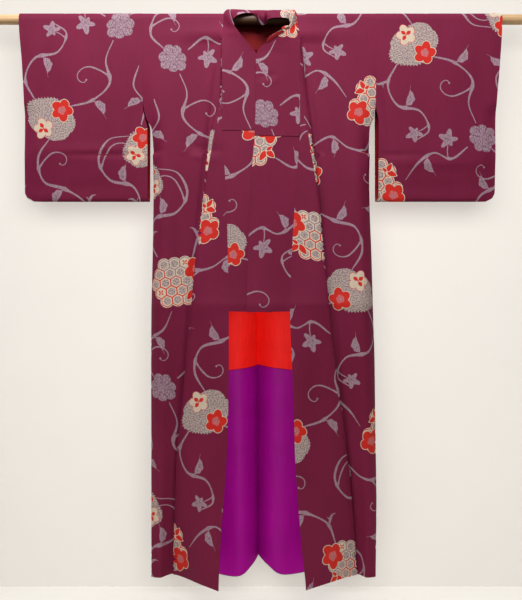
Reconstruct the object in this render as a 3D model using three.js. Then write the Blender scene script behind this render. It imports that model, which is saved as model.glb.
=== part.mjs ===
// A woman's lined silk kimono hanging on a round wooden rod.
//
// The frame: millimetres, +X towards the wearer's left, -Y out of the front of the garment, +Z up.
// The origin is the middle of the rod's axis. "left" and "right" are the wearer's.
//
// Each side has one long body strip that runs from the front hem over the rod to the back hem, a
// tapered overlap panel sewn to it, and a sleeve. One collar band runs from front to front round the
// neck, and an over-collar covers its middle. The lining is built where it shows: inside the back,
// in an upper and a hem colour, and at the open inner edge of each sleeve.
//
// A body strip is a stack of level sections. A section starts at the centre back, waves out to the
// side, turns round the side as a soft tube, runs under the front as a pleat and comes back to the
// collar or to the free front edge.
import * as THREE from "three";

// Driving dimensions
const ROD_RADIUS = 13.5;
const ROD_LENGTH = 1500;
const ROD_SIDES = 32;

const CLOTH = 1.6; // the silk with its lining, as one wall
const LINING = 1.0; // a lining layer that shows
const SEAM_GAP = 0.34; // between pieces that are sewn together
const LAYER_GAP = 0.45; // between a piece and what lies on it

const SHOULDER_RADIUS = ROD_RADIUS + 0.7 + CLOTH / 2; // the middle of the cloth as it passes over the rod
const HEM_Z = -1502;
const HALF_LENGTH_FOLD_Z = -770; // the crease from storing the garment folded in half
const NECK_HALF_WIDTH = 97;
const NECK_BACK_Z = -28;
const ARMHOLE_Z = -230; // the sleeve is sewn on down to here
const SIDE_OPEN_Z = -380; // the side seam starts here, below the side opening
const OVERLAP_TIP_Z = -226;
const COLLAR_END_Z = -787;
const OVERLAP_WIDTH_AT_COLLAR_END = 135;
const OVERLAP_WIDTH_AT_HEM = { left: 172, right: 164 };
const OVER_COLLAR_INSET = 0.6; // its sewn edge stops this far inside the collar's
const OVER_COLLAR_END_Z = { left: -322, right: -306 };
const LINING_CHANGE_Z = { centre: -935, side: -956 }; // the upper lining meets the hem lining
const HEM_LINING_SHORT = 2; // the hem lining stops this far above the outer hem
const LEFT_BACK_DEEPER = 16; // the left half of the back hangs this much further back at the hem
const CENTRE_BACK_X = -5;
const CENTRE_BACK_RISE = 38; // the back hem is drawn up at the centre seam

const SLEEVE_DROP = 490;
const SLEEVE_FOLD_Z = -372; // a storage crease across the sleeve
const CUFF_OPEN_Z = -235; // the cuff is open above this, and sewn shut below
const CUFF_CORNER_RADIUS = 24;
const SLEEVE_BACK_SHOWS = { left: 8, right: 5.5 }; // below the armhole the back reaches past the front

const COLOUR = { silk: 0x6e2140, red: 0xd8201c, purple: 0x760a6c, wood: 0xc79a62 };

// Interpolation in a table with named columns. Rows go down from the shoulder.
const table = (columns, rows) => {
  const z = rows.map((row) => row[0]);
  const read = (name, at) => {
    const column = columns.indexOf(name);
    const value = rows.map((row) => row[column]);
    if (at >= z[0]) return value[0];
    const last = z.length - 1;
    if (at <= z[last]) return value[last];
    let i = 0;
    while (at < z[i + 1]) i++;
    const slope = (k) => (value[k + 1] - value[k]) / (z[k + 1] - z[k]);
    const tangent = (k) => {
      if (k === 0 || k === last || slope(k - 1) * slope(k) <= 0) return 0;
      return (2 * slope(k - 1) * slope(k)) / (slope(k - 1) + slope(k));
    };
    const span = z[i + 1] - z[i];
    const t = (at - z[i]) / span;
    const a = (1 + 2 * t) * (1 - t) ** 2;
    const b = t * (1 - t) ** 2 * span;
    const c = t * t * (3 - 2 * t);
    const d = t * t * (t - 1) * span;
    return a * value[i] + b * tangent(i) + c * value[i + 1] + d * tangent(i + 1);
  };
  return (at) => Object.fromEntries(columns.map((name) => [name, read(name, at)]));
};

// The front of each side, level by level. side: the outermost point. tube: how far forward the side
// tube comes. root: the pleat's inner turn. edge: its outer turn. seam: the collar seam, and below
// the collar the free front edge.
const FRONT_COLUMNS = ["z", "sideX", "tubeY", "rootX", "rootY", "edgeX", "edgeY", "seamX", "seamY", "turn"];
const FRONT = {
  right: table(FRONT_COLUMNS, [
    [0, 315, -15, 106, -15, 103, -15, 97, -15, 1.6],
    [-60, 315, -15, 95, -16.4, 104, -21, 102, -24, 1.7],
    [-110, 315, -15, 90, -17, 105, -23, 101.5, -27, 2.2],
    [-215, 315, -16, 80, -17.5, 107, -25, 101.5, -30, 2.6],
    [-265, 307, -17, 84, -18, 119, -26, 101, -31, 2.8],
    [-300, 290, -18, 86, -18, 130, -27, 101, -32, 2.9],
    [-380, 286, -20, 92, -18, 142, -29, 96, -34, 3],
    [-487, 286, -22, 104, -18, 152, -31, 89, -37, 3],
    [-640, 288, -25, 108, -18, 170, -34, 85, -41, 3],
    [-787, 291, -28, 115, -17, 183, -36, 82, -46, 3],
    [-900, 292, -26, 124, -12, 195, -34, 82, -51, 3.2],
    [-1027, 292, -24, 140, -4, 206, -28, 83, -57, 3.5],
    [-1162, 292, -21, 156, 6, 222, -17, 87, -63, 4],
    [-1297, 292, -17, 172, 16, 229, -6, 97, -69, 4.5],
    [-1420, 292, -14, 186, 24, 234, 5, 105, -75, 5],
    [-1502, 292, -12, 198, 30, 236, 13, 108, -78, 5],
  ]),
  left: table(FRONT_COLUMNS, [
    [0, 311, -15, 106, -15, 103, -15, 98, -15, 1.6],
    [-60, 311, -15, 100, -16.4, 110, -21, 107, -24, 1.7],
    [-110, 311, -15, 98, -17, 115, -23, 107, -27, 2.2],
    [-215, 311, -16, 94, -17.5, 124, -25, 107, -30, 2.6],
    [-265, 306, -17, 94, -18, 131, -26, 107, -31, 2.8],
    [-300, 294, -18, 96, -18, 136, -27, 107, -32, 2.9],
    [-380, 293, -20, 102, -18, 146, -29, 101, -34, 3],
    [-487, 294, -22, 112, -18, 158, -31, 93, -37, 3],
    [-640, 299, -25, 120, -18, 171, -35, 84, -42, 3],
    [-787, 303, -28, 128, -17, 183, -38, 79, -49, 3],
    [-900, 307, -26, 142, -12, 197, -35, 83, -53, 3.2],
    [-1027, 309, -24, 158, -4, 214, -29, 88, -57, 3.5],
    [-1162, 311, -21, 178, 6, 232, -18, 92, -61, 4],
    [-1297, 313, -17, 197, 16, 248, -7, 101, -65, 4.5],
    [-1420, 312, -14, 212, 24, 258, 2, 112, -69, 5],
    [-1502, 311, -12, 222, 30, 264, 9, 120, -71, 5],
  ]),
};

// The back, which both sides share: the centre seam hangs furthest back, and a soft ridge stands
// forward on each side of it.
const BACK = table(
  ["z", "centreY", "ridgeX", "ridgeY", "midY", "flankY"],
  [
    [0, 15, 60, 15, 15, 15],
    [-60, 23, 58, 21, 19, 17],
    [-240, 31, 56, 25, 22, 19],
    [-487, 39, 55, 23, 25, 21],
    [-787, 47, 54, 14, 28, 22],
    [-1027, 53, 54, 8, 33, 26],
    [-1297, 58, 54, 3, 42, 32],
    [-1502, 61, 54, 0, 46, 35],
  ],
);

// The free edge of each collar half, in front. The left half lies over the right one. rise: how much
// higher the free edge is than the sewn edge of the same section.
const COLLAR_FRONT_COLUMNS = ["z", "freeX", "freeY", "rise"];
const COLLAR_FRONT = {
  right: table(COLLAR_FRONT_COLUMNS, [
    [-165, 8, -33, 14],
    [-229, 12.5, -35, 4],
    [-262, 13, -36, 0],
    [-487, 24, -41, 0],
    [-730, 31, -46, 0],
    [-787, 32, -46, -2],
  ]),
  left: table(COLLAR_FRONT_COLUMNS, [
    [-165, -11, -43, 14],
    [-229, -11.5, -43.5, 4],
    [-262, -12, -44, 0],
    [-487, -26, -48, 0],
    [-730, -34, -54, 0],
    [-787, -35, -55, -2],
  ]),
};

// The collar round the neck. Each row is one crosswise section. edge: its place on the body's inner
// edge, counted in rows of that edge from the top of the rod, forward being negative. free: the free
// edge there. lift: how far the collar stands off the rod between the two.
const NECK_COLUMNS = ["edge", "freeX", "freeY", "freeZ", "lift"];
const NECK = {
  right: [
    [-6, -12, -35, -98, 0],
    [-5.5, -22, -35.5, -86, 0],
    [-5, -34, -36, -71, 0],
    [-4.5, -46, -36, -57, 0],
    [-4, -56, -35.5, -44, 1],
    [-3.5, -65, -34, -32, 2],
    [-3, -70.5, -32, -24, 3],
    [-2, -73, -29, -17, 4],
    [-1, -73.5, -26.5, -12.5, 5],
    [0, -73, -24.5, -9, 6],
    [1, -72, -23, -6.5, 6],
    [2, -70, -21.5, -4, 6],
    [3, -67, -20, -1, 6],
    [4, -60, -18, 5, 7],
    [5, -48, -15, 11, 7],
    [5.3, -36, -13, 14, 7],
    [5.65, -18, -14, 9, 6],
    [5.87, -6, -18, -2, 4],
  ],
  left: [
    [5.97, 8, -22, -22, 2],
    [5.85, 18, -20, -9, 3],
    [5.62, 32, -19, -3, 4],
    [5.3, 50, -19, -2, 4],
    [5, 64, -19.5, -2.5, 5],
    [4, 72, -20.5, -4, 5],
    [3, 77, -22, -7, 5],
    [2, 79.5, -23, -10, 5],
    [1, 81, -24, -13, 5],
    [0, 82, -25.5, -16, 4],
    [-1, 82.3, -27, -19.5, 4],
    [-2, 81.5, -29, -23.5, 3],
    [-3, 79, -31.5, -28, 3],
    [-3.5, 73, -34.5, -35, 2],
    [-4, 62, -37.5, -43, 1],
    [-4.5, 48, -40.5, -51, 0],
    [-5, 30, -42.5, -64, 0],
    [-5.5, 10, -43, -80, 0],
    [-6, -8, -43, -100, 0],
  ],
};

// Levels at which the sections are taken
const FRONT_LEVELS = [
  0, -45, -70, -110, -165, -229, ARMHOLE_Z, -262, -300, SIDE_OPEN_Z, -480, -545, -610, HALF_LENGTH_FOLD_Z, -890,
  -1030, -1180, -1345, HEM_Z,
];
const BACK_LEVELS = [
  0, -9, -18, NECK_BACK_Z, -75, -150, ARMHOLE_Z, -300, SIDE_OPEN_Z, -570, HALF_LENGTH_FOLD_Z, "change", -1120, -1310,
  HEM_Z,
];
const COLLAR_LEVELS = [-165, -229, -262, -306, -322, SIDE_OPEN_Z, -480, -545, -610, HALF_LENGTH_FOLD_Z, COLLAR_END_Z];
const STRIP_COLUMNS = 26;
const OVERLAP_COLUMNS = 10;
const COLLAR_COLUMNS = 7;
const SHOULDER_STEPS = 6;
const PLEAT_STARTS_Z = -50;
const TURN_WEIGHT = 11; // how many millimetres of flat cloth a radian of turn counts for when columns are spread

const point = (x, y, z) => new THREE.Vector3(x, y, z);
const mix = (a, b, t) => a + (b - a) * t;
const smooth = (a, b, x) => {
  const t = THREE.MathUtils.clamp((x - a) / (b - a), 0, 1);
  return t * t * (3 - 2 * t);
};
const signOf = (side) => (side === "left" ? 1 : -1);

// The garment stands a little forward at the storage crease, with a sharp change of slope there.
const creaseForward = (z, depth = 7) => {
  const above = THREE.MathUtils.clamp(z / HALF_LENGTH_FOLD_Z, 0, 1);
  const below = THREE.MathUtils.clamp((HEM_Z - z) / (HEM_Z - HALF_LENGTH_FOLD_Z), 0, 1);
  return -depth * Math.min(above, below) ** 1.6;
};

// A path through control points, sampled finely, with its length and turning added up along it.
const SAMPLES = 20;
const pathThrough = (controls) => {
  const curve = new THREE.CatmullRomCurve3(controls, false, "centripetal");
  const points = curve.getPoints((controls.length - 1) * SAMPLES);
  const lengths = [0];
  const weights = [0];
  for (let i = 1; i < points.length; i++) {
    const step = points[i].distanceTo(points[i - 1]);
    const before = points[i].clone().sub(points[i - 1]);
    const after = points[Math.min(i + 1, points.length - 1)].clone().sub(points[i]);
    const turn = after.lengthSq() > 1e-9 && before.lengthSq() > 1e-9 ? before.angleTo(after) : 0;
    lengths.push(lengths[i - 1] + step);
    weights.push(weights[i - 1] + step + TURN_WEIGHT * turn);
  }
  return { points, lengths, weights, total: lengths[lengths.length - 1] };
};
const lengthAtControl = (path, index) => path.lengths[index * SAMPLES];
const along = (path, scale, value) => {
  const list = path[scale];
  let i = 1;
  while (i < list.length - 1 && list[i] < value) i++;
  const t = THREE.MathUtils.clamp((value - list[i - 1]) / Math.max(list[i] - list[i - 1], 1e-9), 0, 1);
  const at = path.points[i - 1].clone().lerp(path.points[i], t);
  at.across = path.points[Math.min(i + 1, list.length - 1)].clone().sub(path.points[Math.max(i - 2, 0)]);
  return { at, index: i - 1 + t };
};
const weightAtLength = (path, length) => {
  const { index } = along(path, "lengths", length);
  const i = Math.min(Math.floor(index), path.weights.length - 2);
  return mix(path.weights[i], path.weights[i + 1], index - i);
};
// Points from one length to another on a path, closer together where it turns.
const cut = (path, from, to, columns) => {
  const a = weightAtLength(path, from);
  const b = weightAtLength(path, to);
  return Array.from({ length: columns + 1 }, (_, i) => along(path, "weights", mix(a, b, i / columns)).at);
};

// Half the distance between front and back where the sleeve is sewn on
const armholeHalf = (z) => mix(SHOULDER_RADIUS, 9, smooth(-60, -330, z));

// The level section of one side, from the centre back to the collar or the free front edge
const BACK_CONTROLS = 5;
const section = (side, z) => {
  const s = signOf(side);
  const f = FRONT[side](z);
  const b = BACK(z);
  const forward = creaseForward(z);
  const rise = (x) => CENTRE_BACK_RISE * Math.exp(-((x / 30) ** 2)) * smooth(-900, HEM_Z, z);
  const deeper = side === "left" ? LEFT_BACK_DEEPER * smooth(-300, HEM_Z, z) : 0;
  const at = (x, y) => point(s * x, y + forward, z);
  const sideX = f.sideX;
  const round = smooth(SIDE_OPEN_Z + 60, SIDE_OPEN_Z - 60, z);
  const gape = 1 - smooth(SIDE_OPEN_Z + 90, SIDE_OPEN_Z, z);
  const seamY = mix(0, 6, round);
  const halfOpen = gape * armholeHalf(z);
  const back = [
    point(CENTRE_BACK_X, b.centreY + forward, z + rise(0)),
    at(b.ridgeX * 0.42, mix(b.centreY, b.ridgeY, 0.62)),
    at(b.ridgeX, b.ridgeY + deeper),
    at(mix(b.ridgeX, sideX, 0.46), b.midY + deeper * 0.4),
    at(mix(b.ridgeX, sideX, 0.84), b.flankY),
  ];
  back[1].z += rise(b.ridgeX * 0.42);
  const turn = f.turn;
  const layers = [
    at(f.rootX + 2 * turn, f.rootY + turn),
    at(f.rootX, f.rootY),
    at(f.rootX + 2 * turn, f.rootY - turn),
    at(f.edgeX - 2 * turn, f.edgeY + turn),
    at(f.edgeX, f.edgeY),
    at(f.edgeX - 2 * turn, f.edgeY - turn),
    at(mix(f.edgeX, f.seamX, 0.6), mix(f.edgeY - turn, f.seamY, 0.66)),
  ];
  const tube = [
    at(sideX, mix(f.tubeY, -4, round)),
    at(sideX - mix(30, 24, round), f.tubeY - 1),
    at(mix(sideX, f.rootX, 0.42), mix(f.tubeY, f.rootY, 0.42) - 1),
  ];
  const end = at(f.seamX, f.seamY);
  const pleated = z < PLEAT_STARTS_Z && f.edgeX - f.seamX > 1.2;
  const flat = [at(mix(sideX, f.seamX, 0.5), mix(f.tubeY, f.seamY, 0.5)), at(mix(sideX, f.seamX, 0.8), mix(f.tubeY, f.seamY, 0.8))];
  const front = z < PLEAT_STARTS_Z ? [...tube.slice(1), ...(pleated ? layers : layers.slice(0, 6)), end] : [...flat, end];
  const seamAt = at(sideX - 5 * round, seamY);
  if (halfOpen > 0.6) {
    const outerBack = at(sideX, seamY + halfOpen);
    const outerFront = at(sideX, seamY - halfOpen);
    return { back: pathThrough([...back, outerBack]), front: pathThrough([outerFront, ...front]), open: true };
  }
  const whole = pathThrough([...back, seamAt, tube[0], ...front]);
  return { whole, sideSeam: lengthAtControl(whole, BACK_CONTROLS), open: false };
};
const overlapWidth = (side, z) => {
  if (z > ARMHOLE_Z) return 0;
  if (z > COLLAR_END_Z) {
    return OVERLAP_WIDTH_AT_COLLAR_END * ((OVERLAP_TIP_Z - z) / (OVERLAP_TIP_Z - COLLAR_END_Z));
  }
  const t = (COLLAR_END_Z - z) / (COLLAR_END_Z - HEM_Z);
  return mix(OVERLAP_WIDTH_AT_COLLAR_END, OVERLAP_WIDTH_AT_HEM[side], t);
};
// The front corner hangs lower than the sides.
const hemDrop = (z, t) => -14 * smooth(-900, HEM_Z, z) * t * t;

// Above the pleat the columns run together towards the neck, so that the pleat opens out of one
// point. PLEAT_SHARE is what that stretch is in the flat rows, in millimetres.
const PLEAT_SHARE = 9;
const lengthsOf = (row) => {
  const lengths = [0];
  row.slice(1).forEach((p, i) => lengths.push(lengths[i] + p.distanceTo(row[i])));
  return lengths;
};
const flatShares = (side, columns) => {
  const row = frontStretch(side, FRONT_LEVELS[2], SEAM_GAP / 2, SEAM_GAP / 2, columns);
  const lengths = lengthsOf(row);
  const total = lengths[columns];
  const f = FRONT[side](FRONT_LEVELS[2]);
  const pleat = 2 * (f.edgeX - f.rootX) + 4;
  const wide = Math.abs(row[0].x - row[columns].x);
  return lengths.map((length) => {
    const left = total - length;
    const flat = left < pleat ? (PLEAT_SHARE * left) / pleat : mix(PLEAT_SHARE, wide, (left - pleat) / (total - pleat));
    return 1 - flat / wide;
  });
};
const frontStretch = (side, z, from, to, columns) => {
  const s = section(side, z);
  const path = s.open ? s.front : s.whole;
  const start = s.open ? 0 : s.sideSeam;
  const shares = z > PLEAT_STARTS_Z && columns > 1 ? flatShares(side, columns) : null;
  const points = shares
    ? shares.map((share) => along(path, "lengths", mix(start + from, path.total - to, share)).at)
    : cut(path, start + from, path.total - to, columns);
  const lowest = path.total - start;
  points.forEach((p) => {
    const across = 1 - Math.min(1, path.points[path.points.length - 1].distanceTo(p) / (lowest * 0.45));
    p.z += hemDrop(z, Math.max(0, across));
  });
  return points;
};
const backStretch = (side, z, from, to, columns) => {
  const s = section(side, z);
  const path = s.open ? s.back : s.whole;
  const end = s.open ? path.total : s.sideSeam;
  const even = smooth(0, -150, z);
  const shares = flatShares(side, columns).map((share, i) => mix(share, i / columns, even));
  return shares.map((share) => along(path, "lengths", mix(end - to, from, share)).at);
};
const neckEdge = (z) => NECK_HALF_WIDTH * Math.sqrt(Math.max(0, 1 - (z / NECK_BACK_Z) ** 2));

// A cloth surface: a grid of points with a normal at each. An upright edge keeps its normals level
// with x, so that two pieces sewn edge to edge there stay apart through their whole thickness.
const surface = (grid, { loop = false, upright = () => false } = {}) => {
  const rows = grid.length;
  const columns = grid[0].length;
  const rowAt = (i) => (loop ? (i + rows) % rows : Math.min(Math.max(i, 0), rows - 1));
  const columnAt = (j) => Math.min(Math.max(j, 0), columns - 1);
  const normals = grid.map((row, i) =>
    row.map((p, j) => {
      const down = grid[rowAt(i + 1)][j].clone().sub(grid[rowAt(i - 1)][j]);
      const step = row[columnAt(j + 1)].clone().sub(row[columnAt(j - 1)]);
      const across = p.across ? p.across.clone().multiplyScalar(Math.sign(p.across.dot(step)) || 1) : step;
      const normal = across.cross(down);
      if (upright(i, j)) normal.x = 0;
      return normal.normalize();
    }),
  );
  return { grid, normals, loop };
};
const layer = (cloth, distance) =>
  cloth.grid.map((row, i) => row.map((p, j) => p.clone().addScaledVector(cloth.normals[i][j], distance)));

// A closed wall between two layers of one surface
const shell = (low, high, loop = false) => {
  const rows = low.length;
  const columns = low[0].length;
  const vertices = [];
  const number = (rowsOfPoints) =>
    rowsOfPoints.map((row) =>
      row.map((p) => {
        vertices.push(p.x, p.y, p.z);
        return vertices.length / 3 - 1;
      }),
    );
  const a = number(low);
  const b = number(high);
  const faces = [];
  const quad = (p, q, r, s) => faces.push(p, q, r, p, r, s);
  const cross = (p, q, r, s, along) => (along ? quad(p, q, r, s) : quad(q, r, s, p));
  const lastRow = loop ? rows : rows - 1;
  for (let i = 0; i < lastRow; i++) {
    const n = (i + 1) % rows;
    for (let j = 0; j < columns - 1; j++) {
      const along = low[i][j].distanceTo(low[n][j + 1]) < 1.05 * low[i][j + 1].distanceTo(low[n][j]);
      cross(a[i][j], a[i][j + 1], a[n][j + 1], a[n][j], along);
      cross(b[i][j], b[n][j], b[n][j + 1], b[i][j + 1], along);
    }
    quad(a[i][0], a[n][0], b[n][0], b[i][0]);
    quad(a[i][columns - 1], b[i][columns - 1], b[n][columns - 1], a[n][columns - 1]);
  }
  for (let j = 0; j < columns - 1 && !loop; j++) {
    quad(a[0][j], b[0][j], b[0][j + 1], a[0][j + 1]);
    quad(a[rows - 1][j], a[rows - 1][j + 1], b[rows - 1][j + 1], b[rows - 1][j]);
  }
  if (signedVolume(vertices, faces) < 0) faces.reverse();
  const geometry = new THREE.BufferGeometry();
  geometry.setAttribute("position", new THREE.Float32BufferAttribute(vertices, 3));
  geometry.setIndex(faces);
  geometry.computeVertexNormals();
  return geometry;
};
const signedVolume = (vertices, faces) => {
  const corner = (i) => point(vertices[3 * faces[i]], vertices[3 * faces[i] + 1], vertices[3 * faces[i] + 2]);
  let volume = 0;
  for (let i = 0; i < faces.length; i += 3) volume += corner(i).dot(corner(i + 1).cross(corner(i + 2)));
  return volume;
};
const wall = (cloth) => shell(layer(cloth, -CLOTH / 2), layer(cloth, CLOTH / 2), cloth.loop);

const silk = new THREE.MeshStandardMaterial({ color: COLOUR.silk, roughness: 0.72, metalness: 0 });
const red = new THREE.MeshStandardMaterial({ color: COLOUR.red, roughness: 0.6, metalness: 0 });
const purple = new THREE.MeshStandardMaterial({ color: COLOUR.purple, roughness: 0.6, metalness: 0 });
const wood = new THREE.MeshStandardMaterial({ color: COLOUR.wood, roughness: 0.55, metalness: 0 });

const garment = new THREE.Group();
const add = (name, geometry, material) => {
  const mesh = new THREE.Mesh(geometry, material.clone());
  mesh.name = name;
  garment.add(mesh);
};

// The rod, which the sleeves and shoulders hang on
const rodGeometry = new THREE.CylinderGeometry(ROD_RADIUS, ROD_RADIUS, ROD_LENGTH, ROD_SIDES);
rodGeometry.rotateZ(Math.PI / 2);
add("rod", rodGeometry, wood);

// One body strip: front hem, up over the rod, down to the back hem. Its rows, counted from the
// front hem, and its columns, from the side to the middle.
const FRONT_TOP_ROW = FRONT_LEVELS.length - 1;
const BACK_TOP_ROW = FRONT_TOP_ROW + SHOULDER_STEPS;
const ROD_TOP_ROW = (FRONT_TOP_ROW + BACK_TOP_ROW) / 2;
const backRowOf = (level) => BACK_TOP_ROW + BACK_LEVELS.indexOf(level);
const backRow = (side, level) => {
  if (level === "change") {
    const row = backStretch(side, LINING_CHANGE_Z.centre, SEAM_GAP / 2, SEAM_GAP / 2, STRIP_COLUMNS);
    row.forEach((p, i) => {
      p.z = mix(LINING_CHANGE_Z.centre, LINING_CHANGE_Z.side, Math.min(1, 1.8 * (1 - i / STRIP_COLUMNS)));
    });
    return row;
  }
  const inner = level > NECK_BACK_Z ? neckEdge(level) : SEAM_GAP / 2;
  return backStretch(side, level, inner, SEAM_GAP / 2, STRIP_COLUMNS);
};
const bodyStrip = (side) => {
  const front = FRONT_LEVELS.map((z) =>
    frontStretch(side, z, SEAM_GAP / 2, overlapWidth(side, z) + SEAM_GAP / 2, STRIP_COLUMNS),
  ).reverse();
  const top = front[front.length - 1];
  const turn = (angle) => top.map((p) => point(p.x, -SHOULDER_RADIUS * Math.cos(angle), SHOULDER_RADIUS * Math.sin(angle)));
  const shoulder = Array.from({ length: SHOULDER_STEPS }, (_, k) => turn((Math.PI * (k + 1)) / SHOULDER_STEPS));
  const back = BACK_LEVELS.slice(1).map((level) => backRow(side, level));
  const grid = [...front, ...shoulder, ...back];
  const sleeveFrom = FRONT_TOP_ROW - FRONT_LEVELS.indexOf(ARMHOLE_Z);
  const sleeveTo = backRowOf(ARMHOLE_Z);
  const upright = (i, j) =>
    (j === 0 && i >= sleeveFrom && i <= sleeveTo) || (j === STRIP_COLUMNS && i >= backRowOf(NECK_BACK_Z));
  return surface(grid, { upright });
};
const overlapPanel = (side) => {
  const levels = FRONT_LEVELS.filter((z) => z <= ARMHOLE_Z);
  const row = (z) => {
    const s = section(side, z);
    const length = s.open ? s.front.total : s.whole.total - s.sideSeam;
    return frontStretch(side, z, length - overlapWidth(side, z) + SEAM_GAP / 2, SEAM_GAP / 2, OVERLAP_COLUMNS);
  };
  return surface(levels.map(row));
};
const body = { left: bodyStrip("left"), right: bodyStrip("right") };

// Where the collar is sewn on: beside the front edge, and round the neck. Each place has a point
// and the direction that leads out of the cloth there.
const frontEdge = (side) => FRONT_LEVELS.map((z) => frontStretch(side, z, 0, SEAM_GAP / 2, 1)[1]);
const edges = { left: frontEdge("left"), right: frontEdge("right") };
const sewnInFront = (side, z) => {
  const i = FRONT_LEVELS.findIndex((level) => level <= z);
  const t = (z - FRONT_LEVELS[i - 1]) / (FRONT_LEVELS[i] - FRONT_LEVELS[i - 1]);
  const [a, b] = [edges[side][i - 1], edges[side][i]];
  return { at: a.clone().lerp(b, t), out: a.across.clone().lerp(b.across, t).normalize() };
};
const sewnRoundNeck = (side, edge) => {
  const place = ROD_TOP_ROW + edge;
  const i = Math.min(Math.floor(place), backRowOf(NECK_BACK_Z) - 1);
  const { grid, normals } = body[side];
  const [a, b] = [grid[i][STRIP_COLUMNS], grid[i + 1][STRIP_COLUMNS]];
  const normal = normals[i][STRIP_COLUMNS].clone().lerp(normals[i + 1][STRIP_COLUMNS], place - i);
  return { at: a.clone().lerp(b, place - i), out: b.clone().sub(a).cross(normal).normalize() };
};
// The collar's own edge, clear of the cloth that it is sewn to, however steeply it leaves it
const beside = (sewn, free) => {
  const flat = Math.max(0, free.clone().sub(sewn.at).normalize().dot(sewn.out));
  const steep = Math.sqrt(Math.max(0, 1 - flat * flat));
  return sewn.at.clone().addScaledVector(sewn.out, SEAM_GAP * 1.6 + (CLOTH / 2) * steep);
};

const angleOf = (p) => {
  const angle = Math.atan2(p.z, p.y);
  return angle < -Math.PI / 2 ? angle + 2 * Math.PI : angle;
};
// A crosswise section of the collar bowed over the rod
const bowedSection = (sewn, free, lift) => {
  const from = { angle: angleOf(sewn), radius: Math.hypot(sewn.y, sewn.z) };
  const to = { angle: angleOf(free), radius: Math.hypot(free.y, free.z) };
  const least = ROD_RADIUS + CLOTH / 2 + 1.2;
  return Array.from({ length: COLLAR_COLUMNS + 1 }, (_, i) => {
    const t = i / COLLAR_COLUMNS;
    const angle = mix(from.angle, to.angle, t);
    const high = Math.max(0, Math.sin(angle)) * smooth(0, 0.3, t);
    const tight = mix(mix(from.radius, to.radius, t), least + 3, high);
    const radius = Math.max(Math.min(least, from.radius), tight + lift * Math.sin(Math.PI * t));
    return point(mix(sewn.x, free.x, t), radius * Math.cos(angle), radius * Math.sin(angle));
  });
};
// A crosswise section of the collar in front, nearly straight
const frontSection = (side, z) => {
  const f = COLLAR_FRONT[side](z);
  const free = point(f.freeX, f.freeY + creaseForward(z), z + f.rise);
  const sewn = beside(sewnInFront(side, z), free);
  return Array.from({ length: COLLAR_COLUMNS + 1 }, (_, i) => {
    const t = i / COLLAR_COLUMNS;
    const p = sewn.clone().lerp(free, t);
    p.y -= 1.2 * Math.sin(Math.PI * t);
    return p;
  });
};
const neckSections = (side) =>
  NECK[side].map(([edge, x, y, z, lift]) => {
    const free = point(x, y, z);
    return bowedSection(beside(sewnRoundNeck(side, edge), free), free, lift);
  });
const collarBand = (endRight, endLeft) =>
  surface([
    ...COLLAR_LEVELS.filter((z) => z >= endRight)
      .reverse()
      .map((z) => frontSection("right", z)),
    ...neckSections("right"),
    ...neckSections("left"),
    ...COLLAR_LEVELS.filter((z) => z >= endLeft).map((z) => frontSection("left", z)),
  ]);
const onTheOutside = [CLOTH / 2 + LAYER_GAP, CLOTH / 2 + LAYER_GAP + LINING];
const overCollar = () => {
  const band = collarBand(OVER_COLLAR_END_Z.right, OVER_COLLAR_END_Z.left);
  const layers = onTheOutside.map((distance) => layer(band, distance));
  layers.flat().forEach((row) => row[0].lerp(row[1], OVER_COLLAR_INSET / row[0].distanceTo(row[1])));
  return shell(...layers);
};

// The sleeves: a tube round the rod, with a row for each level of its inner and outer edge
const SLEEVE_COLUMNS = ["z", "inner", "outer"];
const SLEEVE_EDGES = {
  right: table(SLEEVE_COLUMNS, [
    [0, 315, 647],
    [-125, 315, 638],
    [ARMHOLE_Z, 315, 633],
    [-300, 297, 632],
    [-490, 297, 634],
  ]),
  left: table(SLEEVE_COLUMNS, [
    [0, 311, 650],
    [-125, 311, 643],
    [ARMHOLE_Z, 311, 635],
    [-300, 311, 633],
    [-490, 311, 633],
  ]),
};
const SLEEVE_LEVELS = [-40, -110, -165, ARMHOLE_Z, -262, -300, SLEEVE_FOLD_Z, -425, -462, -482];
const SLEEVE_ACROSS = [0, 0.11, 0.24, 0.42, 0.6, 0.76, 0.88, 0.95, 0.985, 1];
const SLEEVE_TOP_STEPS = 6;
const sleeveForward = (z) => {
  const above = THREE.MathUtils.clamp(z / SLEEVE_FOLD_Z, 0, 1);
  const below = THREE.MathUtils.clamp((z + SLEEVE_DROP) / (SLEEVE_FOLD_Z + SLEEVE_DROP), 0, 1);
  return 9 * Math.min(above, below) ** 1.4;
};
const sleeveY = (z, front, across) => {
  const middle = mix(SHOULDER_RADIUS, 4.5, smooth(-50, 40 - SLEEVE_DROP, z));
  const inner = z >= ARMHOLE_Z ? armholeHalf(z) : mix(armholeHalf(ARMHOLE_Z), 5, (ARMHOLE_Z - z) / (ARMHOLE_Z + SLEEVE_DROP));
  const open = mix(inner, middle, smooth(0, 0.3, across));
  const shut = smooth(CUFF_OPEN_Z + 12, CUFF_OPEN_Z - 25, z) * smooth(0.88, 1, across);
  const half = mix(open, CLOTH / 2 + 0.3, shut);
  return (front ? -half : half) - sleeveForward(z) * smooth(0, 0.3, across);
};
const sleeveX = (side, z, front, across) => {
  const edges = SLEEVE_EDGES[side](z);
  const low = Math.max(0, CUFF_CORNER_RADIUS - (z + SLEEVE_DROP));
  const corner = CUFF_CORNER_RADIUS - Math.sqrt(Math.max(0, CUFF_CORNER_RADIUS ** 2 - low ** 2));
  const shy = front ? SLEEVE_BACK_SHOWS[side] * smooth(ARMHOLE_Z, ARMHOLE_Z - 50, z) : 0;
  return signOf(side) * mix(edges.inner + SEAM_GAP + shy, edges.outer - corner, across);
};
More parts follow.
